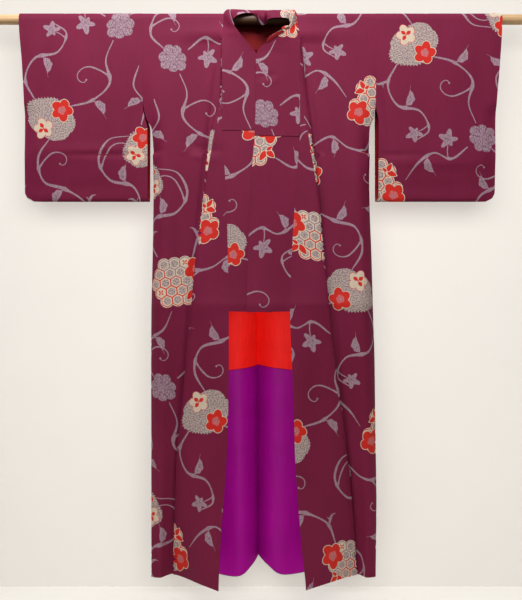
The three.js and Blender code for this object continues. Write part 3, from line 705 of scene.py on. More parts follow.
    @lru_cache(maxsize=1)
    def strip(self) -> Cloth:
        """Lay the body strip: front hem, up over the rod, and down to the back hem."""
        columns, gap = self.COLUMNS, SIZES.seam_gap / 2
        rows, runs = [], []
        heights = [
            *np.linspace(SIZES.hem_z, -90, self.FRONT_ROWS),
            *np.linspace(-84, -70, 4),
            *np.linspace(-65, -45, 5),
            *np.linspace(-40, 0, 8),
        ]
        for z in heights:
            rows.append(self.front_row(z, gap, self.overlap_width(z) + gap, columns))
            runs.append(z - OVER_ROD)
        top, across = rows[-1]
        for angle in np.linspace(0, math.pi, self.ROD_ROWS)[1:]:
            rows.append((over_rod(top, angle), across))
            runs.append(SIZES.shoulder_radius * angle - OVER_ROD)
        for angle in np.radians(np.linspace(6, 90, self.NECK_ROWS)):
            z = SIZES.neck_back_z * math.sin(angle)
            inner = max(SIZES.neck_half_width * math.cos(angle), gap)
            rows.append(self.back_row(z, inner, columns))
            runs.append(OVER_ROD - z)
        for z in np.linspace(SIZES.neck_back_z - 6, SIZES.hem_z, self.BACK_ROWS):
            rows.append(self.back_row(z, gap, columns))
            runs.append(OVER_ROD - z)
        points = np.array([row for row, _ in rows])
        u, v = np.array([row for _, row in rows]), np.array(runs)
        self.settle(points, u, v)
        upright = np.zeros(u.shape, bool)
        upright[(v > SIZES.armhole_z - OVER_ROD) & (v < OVER_ROD - SIZES.armhole_z), 0] = True
        upright[v > OVER_ROD - SIZES.neck_back_z, -1] = True
        return Cloth(points, u, v, -self.side.sign, upright)

    def settle(self, points: Array, u: Array, v: Array) -> None:
        """Add the relief to a strip, less and less towards the side, where front and back meet."""
        free = ramp(0, 34, u - u[:, :1])
        front, back = v < -OVER_ROD, v > OVER_ROD
        points[front, :, 1] -= FRONT_RELIEF.lift(points[front, :, 0], points[front, :, 2]) * free[front]
        points[back, :, 1] += BACK_RELIEF.lift(points[back, :, 0], points[back, :, 2]) * free[back]

    def overlap(self) -> Cloth:
        """Lay the overlap panel, from its tip beside the collar to the hem."""
        columns, gap = self.OVERLAP_COLUMNS, SIZES.seam_gap / 2
        heights = np.linspace(SIZES.hem_z, SIZES.armhole_z, self.OVERLAP_ROWS)
        rows = []
        for z in heights:
            section = self.section(z)
            start = section.front.total - section.front_start - self.overlap_width(z) + gap
            points, u = self.front_row(z, start, gap, columns)
            points[:, 1] -= FRONT_RELIEF.lift(points[:, 0], points[:, 2])
            rows.append((points, u - u[0]))
        points, u = np.array([p for p, _ in rows]), np.array([a for _, a in rows])
        return Cloth(points, u, heights - OVER_ROD, -self.side.sign)


BODY = {side: BodyForm(side) for side in Side}

FRONT_RELIEF = Relief(
    (
        Crease((-196, -334), (-96, -360), -3.2, 11, 8),
        Crease((-200, -350), (-120, -384), 2.4, 10, 6),
        Crease((278, -318), (306, -440), -2.6, 9, -10),
        Crease((262, -300), (290, -400), 2.2, 9, -8),
        Crease((-292, -250), (-276, -420), -2.4, 10, 6),
        Crease((-250, -120), (-262, -560), 2.0, 26, 5),
        Crease((-205, -420), (-215, -740), -1.6, 20, 4),
        Crease((-262, -830), (-255, -1440), 1.8, 22, 4),
        Crease((236, -150), (252, -620), 1.8, 26, -5),
        Crease((212, -520), (224, -745), -1.5, 17, 3),
        Crease((282, -830), (276, -1400), 1.8, 20, -4),
        Crease((-120, -640), (-140, -760), -1.4, 14, 0),
        Crease((132, -830), (160, -1180), -1.6, 18, 3),
        Crease((-126, -840), (-150, -1200), -1.6, 18, -3),
        Crease((-92, -900), (-104, -1460), 1.5, 12, 2),
        Crease((104, -930), (112, -1460), 1.5, 12, 2),
        Crease((124, -100), (182, -700), -4.5, 7, -3),
        Crease((184, -640), (220, -1060), -4.5, 7),
        Crease((214, -960), (276, -1600), -4.5, 7, -2),
        Crease((-112, -100), (-178, -700), -4.5, 7, 3),
        Crease((-180, -640), (-208, -1060), -4.5, 7, -2),
        Crease((-206, -960), (-250, -1600), -4.5, 7),
    ),
    41,
    1.1,
)
BACK_RELIEF = Relief(
    (
        Crease((-240, -260), (-180, -330), -2.6, 14, 8),
        Crease((240, -255), (186, -335), -2.4, 14, -8),
        Crease((-200, -140), (-205, -700), 1.9, 24, 5),
        Crease((196, -150), (205, -690), 1.9, 24, -5),
        Crease((-118, -820), (-126, -1430), -1.8, 20, 3),
        Crease((130, -820), (140, -1430), -1.8, 20, 3),
    ),
    57,
    1.1,
    5.5,
)
SLEEVE_RELIEF = {
    Side.LEFT: Relief(
        (
            Crease((330, -150), (352, -330), -2.2, 14, 6),
            Crease((480, -60), (505, -350), 2.2, 34, 10),
            Crease((585, -80), (590, -340), -2.0, 26, -8),
            Crease((312, -366), (520, -372), -3.4, 5, 2),
            Crease((320, -386), (640, -390), 2.6, 13, 2),
            Crease((330, -450), (640, -452), -1.6, 20, 3),
        ),
        63,
        1.3,
    ),
    Side.RIGHT: Relief(
        (
            Crease((-330, -150), (-350, -330), -2.2, 14, -6),
            Crease((-470, -60), (-500, -350), 2.2, 34, -10),
            Crease((-590, -80), (-585, -340), -2.0, 26, 8),
            Crease((-300, -362), (-540, -366), -3.4, 5, -2),
            Crease((-305, -350), (-640, -354), 2.4, 13, -2),
            Crease((-330, -446), (-640, -455), -1.6, 20, -3),
        ),
        71,
        1.3,
    ),
}


class CollarForm:
    """The collar band, sewn to the body's front edges and round the neck, and open at its free edge."""

    COLUMNS = 7
    FINE = 3

    def sewn_round_neck(self, side: Side, run: float) -> tuple[Array, Array]:
        """Give a place on the body's inner edge and the direction that leads out of the cloth there."""
        strip = BODY[side].strip()
        i = min(int(np.searchsorted(strip.v, run, side="right")) - 1, len(strip.v) - 2)
        t = (run - strip.v[i]) / (strip.v[i + 1] - strip.v[i])
        at = mix(strip.points[i, -1], strip.points[i + 1, -1], t)
        along = unit_rows(strip.points[i + 1, -1] - strip.points[i, -1])
        across = strip.points[i, -1] - strip.points[i, -2]
        return at, unit_rows(across - along * float(across @ along))

    @staticmethod
    def beside(at: Array, out: Array, free: Array) -> Array:
        """Give the collar's own edge, clear of the cloth it is sewn to however steeply it leaves it."""
        flat = max(0.0, float(unit_rows(free - at) @ out))
        return at + out * (SIZES.seam_gap * 1.6 + SIZES.cloth / 2 * math.sqrt(max(0.0, 1 - flat * flat)))

    def front_section(self, side: Side, z: float) -> Array:
        """Give a crosswise section of the collar in front, nearly straight."""
        f = COLLAR_FRONT[side].at(z)
        free = np.array([f["free_x"], f["free_y"] + stands_forward(z), z + f["rise"]])
        sewn = self.beside(*BODY[side].front_edge(z), free)
        t = np.linspace(0, 1, self.COLUMNS + 1)[:, None]
        section = sewn + (free - sewn) * t
        section[:, 1] -= 1.2 * np.sin(np.pi * t[:, 0])
        return section

    def neck_section(self, side: Side, row: Row) -> Array:
        """Give a crosswise section of the collar bowed over the rod."""
        place, *free, lift = row
        free = np.array(free, float)
        sewn = self.beside(*self.sewn_round_neck(side, float(np.interp(place, NECK_PLACES, NECK_RUNS))), free)
        sewn[2] -= 5 * ramp(5.6, 5.9, place)

        def angle_of(p: Array) -> float:
            """Give the angle round the rod, from the back over the top to the front."""
            angle = math.atan2(p[2], p[1])
            return angle + 2 * math.pi if angle < -math.pi / 2 else angle

        t = np.linspace(0, 1, self.COLUMNS + 1)
        angle = mix(angle_of(sewn), angle_of(free), t)
        first, last = math.hypot(*sewn[1:]), math.hypot(*free[1:])
        least = SIZES.rod_radius + SIZES.cloth / 2 + 1.2
        high = np.maximum(0, np.sin(angle)) * ramp(0, 0.3, t)
        tight = mix(mix(first, last, t), least + 3, high)
        radius = np.maximum(min(least, first), tight + lift * np.sin(np.pi * t))
        return np.stack([mix(sewn[0], free[0], t), radius * np.cos(angle), radius * np.sin(angle)], axis=1)

    def band(self, end: dict[Side, float]) -> Cloth:
        """Lay the band from one front round the neck to the other, each end at its own height."""
        right = [self.front_section(Side.RIGHT, z) for z in self.levels(end[Side.RIGHT])]
        left = [self.front_section(Side.LEFT, z) for z in self.levels(end[Side.LEFT])]
        neck = [self.neck_section(side, row) for side in (Side.RIGHT, Side.LEFT) for row in NECK[side]]
        around = spline(np.array([right[-1], *neck, left[-1]]), 5)
        rows = np.concatenate([np.array(right[:-1]), around, np.array(left[:-1][::-1])])
        points = np.swapaxes(spline(np.swapaxes(rows, 0, 1), self.FINE), 0, 1)
        points = np.array([self.turned_out(row, self.lapel(row)) for row in points])
        points[:, :, 1] -= FRONT_RELIEF.lift(points[:, :, 0], points[:, :, 2]) * (points[:, :, 1] < 0)
        self.tuck(points)
        across = np.cumsum(np.linalg.norm(np.diff(points, axis=1), axis=2), axis=1)
        u = np.concatenate([np.zeros((len(points), 1)), across], axis=1)
        middle = points[:, points.shape[1] // 2]
        v = distances(middle)
        return Cloth(points, u, v, 1)

    @staticmethod
    def lapel(row: Array) -> float:
        """Give how much of a section's free edge is turned out: all of it beside the left of the neck."""
        x, y, z = row[-1]
        return float(
            ramp(12, 34, x) * ramp(84, 72, x) * ramp(-26, -34, z) * ramp(-18, -26, y) * ramp(-130, -110, z)
        )

    @staticmethod
    def turned_out(row: Array, share: float) -> Array:
        """Space a section's points closer towards its free edge, and turn that edge out as a lapel.

        Args:
            row: The section's points, from the sewn edge to the free edge.
            share: How much of the lapel is there, from 0 to 1.

        Returns:
            The section's points, with cloth added for the lapel.
        """
        run = distances(row)
        deep, radius = SIZES.lapel * share, 2.2
        ahead = unit_rows(row[-1] - row[-4])
        out = unit_rows(np.cross(ahead, [1.0, 0.0, 0.0]))
        out = -out if out[1] > 0 else out
        t = np.concatenate([np.linspace(0, 0.62, 12, endpoint=False), np.linspace(0.62, 1, 27)])
        full = run[-1] + 2 * deep
        points = np.empty((len(t), 3))
        fold = run[-1] + deep - radius * math.pi / 2
        for k, length in enumerate(t * full):
            if share < 0.02 or length <= run[-1]:
                points[k] = [np.interp(min(length, run[-1]), run, row[:, j]) for j in range(3)]
            else:
                beyond = min(length, max(fold, run[-1])) - run[-1]
                bent = min(max(0.0, length - run[-1] - beyond) / radius, math.pi * 0.97)
                rest = max(0.0, length - run[-1] - beyond - bent * radius)
                sideways = out * radius * (1 - math.cos(bent))
                at = row[-1] + ahead * (beyond + radius * math.sin(bent)) + sideways
                points[k] = at + (ahead * math.cos(bent) + out * math.sin(bent)) * rest
        return points

    @staticmethod
    def levels(end: float) -> Array:
        """Give the heights of the front's sections, from an end up to the neck."""
        step = 8.0
        return np.linspace(end, SIZES.collar_bows_z, max(4, round((SIZES.collar_bows_z - end) / step)))

    @staticmethod
    def tuck(points: Array) -> None:
        """Press a short level tuck into the collar below the neck."""
        x, z = points[:, :, 0], points[:, :, 2]
        trough = Crease((-8, -168), (46, -160), -2.6, 5, 2).lift(x, z)
        ridge = Crease((-6, -180), (50, -172), 1.8, 7, 2).lift(x, z)
        points[:, :, 1] -= (trough + ridge) * (points[:, :, 1] < 0)


class SleeveForm:
    """One sleeve: a length of cloth over the rod, with its ends sewn together at the bottom."""

    def __init__(self, side: Side) -> None:
        """Keep the side."""
        self.side = side

    @staticmethod
    def forward(z: Array) -> Array:
        """Give how far the sleeve stands forward, most at its storage fold."""
        above = np.clip(z / SIZES.sleeve_fold_z, 0, 1)
        below = np.clip((z + SIZES.sleeve_drop) / (SIZES.sleeve_fold_z + SIZES.sleeve_drop), 0, 1)
        return 9 * np.minimum(above, below) ** 1.4

    def row(self, z: float, front: bool, across: Array) -> Array:
        """Give one level row of the front or the back.

        Args:
            z: The height.
            front: Whether the row belongs to the front.
            across: Shares of the way from the inner edge to the cuff.

        Returns:
            The points.
        """
        edges = SLEEVE_EDGES[self.side].at(z)
        low = max(0.0, SIZES.cuff_corner - (z + SIZES.sleeve_drop))
        corner = SIZES.cuff_corner - math.sqrt(max(0.0, SIZES.cuff_corner**2 - low**2))
        shy = 0.0
        if front:
            shy = SIZES.sleeve_back_shows[self.side] * ramp(SIZES.armhole_z, SIZES.armhole_z - 50, z)
        x = self.side.sign * mix(edges["inner"] + SIZES.seam_gap + shy, edges["outer"] - corner, across)
        middle = mix(SIZES.shoulder_radius, 4.5, ramp(-50, 40 - SIZES.sleeve_drop, z))
        inner = armhole_half(max(z, SIZES.armhole_z))
        inner = mix(inner, 5, max(0.0, SIZES.armhole_z - z) / (SIZES.armhole_z + SIZES.sleeve_drop))
        half = mix(inner, middle, ramp(0, 0.3, across))
        shut = ramp(SIZES.cuff_open_z + 12, SIZES.cuff_open_z - 25, z) * ramp(0.88, 1, across)
        half = mix(half, SIZES.cloth / 2 + 0.3, shut)
        y = (-half if front else half) - self.forward(np.array(z)) * ramp(0, 0.3, across)
        return np.stack([x, y, np.full_like(x, z)], axis=1)

    @lru_cache(maxsize=1)
    def strip(self) -> Cloth:
        """Lay the sleeve's cloth: front bottom, up over the rod, and down to the back bottom."""
        across = np.linspace(0, 1, 81)
        straight = SIZES.sleeve_straight_z
        heights = np.concatenate([np.linspace(straight, -40, 74), np.linspace(-34, 0, 6)])
        end = [self.row(straight, front, across) for front in (True, False)]
        bottom = (end[0] + end[1]) / 2
        bottom[:, 0] = self.row(-SIZES.sleeve_drop, False, across)[:, 0]
        bottom[:, 2] = -SIZES.sleeve_drop - 1.5
        rows, runs = [], []

        def round_bottom(straight: Array, share: float) -> None:
            """Add a level of the rounded bottom, a share of the way to where the sleeve hangs straight."""
            angle = share * math.pi / 2
            level = mix(bottom, straight, math.sin(angle))
            level[:, 2] = bottom[:, 2] + (straight[:, 2] - bottom[:, 2]) * (1 - math.cos(angle)) * 1.2
            rows.append(level)

        for share in (0.0, 0.5):
            round_bottom(end[0], share)
            runs.append(SIZES.sleeve_bottom_turn * share - SIZES.sleeve_bottom_run - OVER_ROD)
        rows[0][:, 1] -= SIZES.seam_gap / 2
        for z in heights:
            rows.append(self.row(z, True, across))
            runs.append(z - OVER_ROD)
        for angle in np.linspace(0, math.pi, 13)[1:-1]:
            rows.append(over_rod(rows[len(heights) + 1], angle))
            runs.append(SIZES.shoulder_radius * angle - OVER_ROD)
        for z in heights[::-1]:
            rows.append(self.row(z, False, across))
            runs.append(OVER_ROD - z)
        for share in (0.5, 0.0):
            round_bottom(end[1], share)
            runs.append(SIZES.sleeve_bottom_run - SIZES.sleeve_bottom_turn * share + OVER_ROD)
        rows[-1][:, 1] += SIZES.seam_gap / 2
        points, v = np.array(rows), np.array(runs)
        self.settle(points, v, across)
        u = np.abs(points[:, :, 0]) - (abs(points[0, 0, 0]) - 4)
        return Cloth(points, u, v, self.side.sign)

    def settle(self, points: Array, v: Array, across: Array) -> None:
        """Add the relief, less towards the edges where the front and back are sewn together."""
        relief = SLEEVE_RELIEF[self.side]
        x, z = points[:, :, 0], points[:, :, 2]
        free = ramp(0, 0.08, across) * ramp(1, 0.9, across) * ramp(-491, -470, z)
        lift = relief.lift(x, z) * free
        points[:, :, 1] -= lift * np.where(v[:, None] < 0, 1.0, 0.72)


@dataclass(frozen=True)
class Figure:
    """One closed shape woven in one yarn."""

    outline: Array
    yarn: Yarn


def unit(degrees: float) -> Array:
    """Give the direction that lies at an angle from +u."""
    return np.array([math.cos(math.radians(degrees)), math.sin(math.radians(degrees))])


def trail(start: Spot, heading: float, legs: list[tuple[float, float]], step: float = 4.0) -> Array:
    """Run a line through arcs, each given by its length and by how far it turns."""
    points, at, angle = [np.array(start, float)], np.array(start, float), heading
    for length, turn in legs:
        count = max(2, round(length / step))
        for _ in range(count):
            angle += turn / count / 2
            at = at + unit(angle) * length / count
            angle += turn / count / 2
            points.append(at)
    return np.array(points)


def ribbon(line: Array, widths: Array) -> Array:
    """Give the outline of a band with a given width at each point of a line."""
    along = np.gradient(line, axis=0)
    along /= np.maximum(np.linalg.norm(along, axis=1), 1e-9)[:, None]
    side = np.stack([-along[:, 1], along[:, 0]], axis=1) * widths[:, None] / 2
    return np.concatenate([line + side, (line - side)[::-1]])


def heading_at(line: Array, share: float) -> tuple[Array, float]:
    """Give the point and the heading at a share of a line's length."""
    run = distances(line)
    i = min(int(np.searchsorted(run, share * run[-1], side="right")) - 1, len(line) - 2)
    along = line[i + 1] - line[i]
    return line[i], math.degrees(math.atan2(along[1], along[0]))


class Drawing:
    """Figures gathered in painting order, the later ones on top."""

    def __init__(self) -> None:
        """Start with no figures."""
        self.figures: list[Figure] = []

    def add(self, outline: Array, yarn: Yarn) -> None:
        """Put one more figure on top."""
        self.figures.append(Figure(np.asarray(outline, float), yarn))

    def stem(self, line: Array, thick: float, swellings: tuple[float, ...]) -> None:
        """Draw a vine's stem, thin at its ends and thicker where a leaf grows out of it."""
        t = np.linspace(0, 1, len(line))
        length = float(np.linalg.norm(np.diff(line, axis=0), axis=1).sum())
        tip = 0.25
        body = tip + (1 - tip) * np.sin(np.pi * (0.08 + 0.9 * t)) ** 0.7
        widths = thick * body * (0.82 + 0.22 * np.sin(t * length / 19))
        for place in swellings:
            widths += thick * 0.6 * np.exp(-(((t - place) * length / 8) ** 2))
        self.add(ribbon(line, widths), Yarn.VINE)

    def curl(self, start: Array, heading: float, size: float, turn: int) -> None:
        """Draw a tendril that rolls up at its end, with a small knob."""
        legs = [
            (size * 1.5, 20 * turn),
            (size * 1.3, 75 * turn),
            (size * 0.95, 105 * turn),
            (size * 0.45, 95 * turn),
        ]
        line = trail(tuple(start), heading, legs, 3.0)
        self.stem(line, 4.6, (0.06,))
        self.add(line[-1] + self.ring(2.7, 9), Yarn.VINE)

    def hook(self, start: Array, heading: float, size: float, turn: int) -> None:
        """Draw a short forked offshoot."""
        line = trail(tuple(start), heading, [(size, 15 * turn), (size * 0.7, 70 * turn)], 3.0)
        t = np.linspace(0, 1, len(line))
        self.add(ribbon(line, 1.2 + 6.2 * np.sin(np.pi * (0.12 + 0.86 * t)) ** 1.5), Yarn.VINE)
        other = trail(tuple(line[len(line) // 3]), heading - 42 * turn, [(size * 0.55, -25 * turn)], 3.0)
        t = np.linspace(0, 1, len(other))
        self.add(ribbon(other, 0.8 + 4.2 * (1 - t)), Yarn.VINE)

    def leaf(self, start: Array, heading: float, length: float, width: float, turn: int) -> None:
        """Draw a bent leaf on a thin stalk, speckled inside, with a ragged outer edge and a thin tail."""
        legs = [(length * 0.4, 18 * turn), (length * 0.45, 40 * turn), (length * 0.35, -30 * turn)]
        line = trail(tuple(start), heading, legs, 2.4)
        t = np.linspace(0, 1, len(line))
        body = np.sin(np.pi * np.clip((t - 0.14) / 0.66, 0, 1) ** 0.8)
        wide = 1.8 + width * body - 1.2 * t
        ragged = wide * (1 + 0.13 * np.sin(t * 30) * body)
        along = np.gradient(line, axis=0)
        along /= np.linalg.norm(along, axis=1)[:, None]
        side = np.stack([-along[:, 1], along[:, 0]], axis=1) * turn
        outer, inner = line - side * ragged[:, None] * 0.6, line + side * wide[:, None] * 0.4
        self.add(np.concatenate([outer, inner[::-1]]), Yarn.VINE)
        core = slice(len(line) // 4, -len(line) // 3)
        widths = width * 0.42 * np.sin(np.pi * np.linspace(0.03, 0.97, len(line[core])))
        self.add(ribbon(line[core] - side[core] * width * 0.08, widths), Yarn.HEATHER)

    def star_leaf(self, centre: Spot, size: float, angle: float) -> None:
        """Draw a broad leaf with five uneven points."""
        around = np.linspace(0, 2 * np.pi, 60, endpoint=False)
        points = 0.52 + 0.48 * np.abs(np.cos(2.5 * around)) ** 2.4
        uneven = 1 + 0.22 * np.cos(around - 0.7) + 0.1 * np.sin(3 * around)
        self.add(self.placed(around, size * points * uneven, centre, angle), Yarn.VINE)
        self.add(self.placed(around, size * 0.5 * points * uneven, centre, angle), Yarn.HEATHER)

    @staticmethod
    def placed(around: Array, radius: Array | float, centre: Spot, angle: float = 0.0) -> Array:
        """Give an outline from its radius at each angle."""
        turned = around + math.radians(angle)
        return np.array(centre) + np.stack([radius * np.cos(turned), radius * np.sin(turned)], axis=1)

    @staticmethod
    def ring(radius: float, count: int) -> Array:
        """Give a small circle round the origin."""
        around = np.linspace(0, 2 * np.pi, count, endpoint=False)
        return radius * np.stack([np.cos(around), np.sin(around)], axis=1)

    def lobed(self, centre: Spot, size: float, angle: float, lobes: int, depth: float, seed: int) -> Array:
        """Give the outline of a round shape with uneven scallops."""
        rng = np.random.default_rng(seed)
        around = np.linspace(0, 2 * np.pi, lobes * 12, endpoint=False)
        scallop = 1 - depth + depth * np.abs(np.sin(around * lobes / 2)) ** 0.7
        uneven = 1 + sum(
            a * np.cos(k * around + p)
            for k, a, p in zip((1, 2, 3), rng.uniform(0.02, 0.07, 3), rng.uniform(0, 6.3, 3))
        )
        return self.placed(around, size * scallop * uneven, centre, angle)

    def stipple(self, centre: Spot, sizes: Spot, angle: float, seed: int) -> None:
        """Draw a speckled oval medallion with a ragged, grass-like edge."""
        rng = np.random.default_rng(seed)
        count = 96
        around = np.linspace(0, 2 * np.pi, count, endpoint=False)
        broad = 0.93 + 0.1 * np.abs(np.sin(around * 2.5 + rng.uniform(0, 3)))
        broad = broad + 0.05 * np.cos(2 * around + rng.uniform(0, 6.3))
        long = 0.5 + 0.5 * np.cos(around - 4.4)
        teeth = 1 + np.where(np.arange(count) % 2, 0.05, -0.05) * long * rng.uniform(0.3, 1.3, count)
        teeth = teeth + rng.uniform(-0.015, 0.015, count)
        oval = np.stack([sizes[0] * np.cos(around), sizes[1] * np.sin(around)], axis=1)
        outline = oval * (broad * teeth)[:, None]
        turn = np.array([unit(angle), unit(angle + 90)])
        self.add(np.array(centre) + outline @ turn, Yarn.SPECKLED)

    def flower(self, centre: Spot, size: float, angle: float, seed: int) -> None:
        """Draw a scalloped flower in speckled yarn, with thin lines between its petals."""
        self.add(self.lobed(centre, size, angle, 7, 0.2, seed), Yarn.HEATHER)
        for k in range(7):
            a = angle + 360 / 7 * k
            line = trail(tuple(np.array(centre) + unit(a) * size * 0.3), a, [(size * 0.42, 14)], 4.0)
            self.add(ribbon(line, np.linspace(0.6, 1.9, len(line))), Yarn.GROUND)

    def plum(self, centre: Spot, size: float, angle: float, petal: Yarn) -> None:
        """Draw a five-petalled plum blossom with a rim of another yarn and a hatched heart.

        Args:
            centre: Its middle.
            size: The distance from the middle to a petal's tip.
            angle: The heading of its first petal.
            petal: The yarn of the petals, red or cream.
        """
        middle = np.array(centre)
        red = petal == Yarn.RED
        for grow, yarn in ((1.13, Yarn.CREAM if red else Yarn.ROSE), (1.0, petal)):
            for k in range(5):
                a = angle + 72 * k
                hub = middle + unit(a) * size * (0.56 + 0.05 * math.sin(2.3 * k))
                around = np.linspace(0, 2 * np.pi, 22, endpoint=False)
                radius = size * 0.44 * grow * (1 + 0.07 * np.cos(2 * around) + 0.05 * np.sin(3 * around + k))
                self.add(self.placed(around, radius, tuple(hub), a), yarn)
        if red:
            self.add(self.lobed(centre, size * 0.4, angle + 36, 5, 0.25, 2), Yarn.ROSE)
            for k in range(5):
                line = middle + np.outer(np.linspace(0.1, size * 0.34, 4), unit(angle + 72 * k + 36))
                self.add(ribbon(line, np.array([1.6, 1.4, 1.2, 1.6])), Yarn.HEATHER)
            return
        for k in range(3):
            a = angle + 100 * k
            line = middle + np.outer(np.linspace(size * 0.1, size * 0.62, 8), unit(a))
            self.add(ribbon(line, size * 0.4 * np.sin(np.pi * np.linspace(0.04, 0.9, 8) ** 0.8)), Yarn.RED)

    def leaf_pair(self, centre: Spot, size: float, angle: float) -> None:
        """Draw two pointed red leaves and a bud, each with a cream edge."""
        for turn, long in ((-1, 1.0), (1, 0.9), (2.9, 0.55)):
            a = angle + 40 * turn
            line = np.array(centre) + np.outer(np.linspace(0, size * long, 11), unit(a))
            t = np.linspace(0, 1, 11)
            self.add(ribbon(line, 2.4 + size * long * 0.56 * np.sin(np.pi * t**0.8)), Yarn.CREAM)
            self.add(ribbon(line[1:-1], (0.3 + size * long * 0.46 * np.sin(np.pi * t**0.8))[1:-1]), Yarn.RED)

    def lattice(self, centre: Spot, sizes: Spot, angle: float, pitch: float = 28.0) -> None:
        """Draw a medallion of tortoiseshell hexagons, whose outer cells make its scalloped edge.

        Args:
            centre: Its middle.
            sizes: Its two radii.
            angle: How far the lattice is turned.
            pitch: The distance between hexagons.
        """
        turn = np.array([unit(angle), unit(angle + 90)])
        hubs = []
        for j in range(-5, 6):
            for i in range(-6, 7):
                local = np.array([(i + j % 2 / 2) * pitch, j * pitch * math.sqrt(3) / 2])
                if np.hypot(local[0] / sizes[0], local[1] / sizes[1]) < 1.0 + 0.06 * math.sin(i * 2.1 + j):
                    hubs.append((i, j, tuple(np.array(centre) + local @ turn)))
        six, circle = np.radians(np.arange(6) * 60.0 + 30), np.linspace(0, 2 * np.pi, 18, endpoint=False)
        for _, _, hub in hubs:
            self.add(self.placed(circle, pitch * 0.63, hub), Yarn.CREAM)
        for i, j, hub in hubs:
            self.add(self.placed(six, pitch * 0.6, hub, angle), Yarn.RED if i + j > -1 else Yarn.HEATHER)
        for i, j, hub in hubs:
            self.add(self.placed(six, pitch * 0.515, hub, angle), Yarn.CREAM)
            if (2 * i + j) % 7 == 3:
                for k in range(4):
                    petal = np.array(hub) + np.outer(
                        np.linspace(1.2, pitch * 0.3, 4), unit(angle + 45 + 90 * k)
                    )
                    self.add(ribbon(petal, np.array([1.6, 3.6, 3.8, 1.0])), Yarn.RED)
            else:
                self.add(self.placed(circle[::2], pitch * 0.37, hub, angle), Yarn.SPECKLED)


def through(places: list[tuple[float, float]], step: float = 4.0) -> Array:
    """Run a smooth line through places."""
    p = np.array(places, float)
    p = np.concatenate([[2 * p[0] - p[1]], p, [2 * p[-1] - p[-2]]])
    line = []
    for a, b, c, d in zip(p, p[1:], p[2:], p[3:]):
        count = max(2, round(float(np.linalg.norm(c - b)) / step))
        t = (np.arange(count) / count)[:, None]
        line.append(
            0.5 * (2 * b + (c - a) * t + (2 * a - 5 * b + 4 * c - d) * t**2 + (3 * b - a - 3 * c + d) * t**3)
        )
    return np.concatenate([*line, p[-2:-1]])


class Shoot(IntEnum):
    """What grows out of a vine."""

    CURL = 0
    LEAF = 1
    HOOK = 2
    STAR = 3


@dataclass(frozen=True)
class Vine:
    """A vine with what grows out of it: where along it, what, to which side, and how large."""

    places: list[tuple[float, float]]
    thick: float
    shoots: list[tuple[float, Shoot, int, float]]

    def draw(self, drawing: Drawing) -> None:
        """Draw the stem and its shoots."""
        line = through(self.places)
        drawing.stem(line, self.thick, tuple(share for share, *_ in self.shoots))
        for share, shoot, side, size in self.shoots:
            at, heading = heading_at(line, share)
            if shoot == Shoot.CURL:
                drawing.curl(at, heading + 38 * side, size, side)
            elif shoot == Shoot.LEAF:
                drawing.leaf(at, heading + 52 * side, size, size * 0.36, side)
            elif shoot == Shoot.HOOK:
                drawing.hook(at, heading + 45 * side, size, side)
            else:
                stalk = trail(tuple(at), heading + 55 * side, [(size * 0.9, 30 * side)], 3.0)
                drawing.add(ribbon(stalk, np.linspace(3.4, 2.2, len(stalk))), Yarn.VINE)
                drawing.star_leaf(
                    tuple(stalk[-1] + unit(heading + 80 * side) * size * 0.3),
                    size * 0.62,
                    heading + 80 * side,
                )


BOLT_WIDTH = 372.0
REPEAT = 880.0


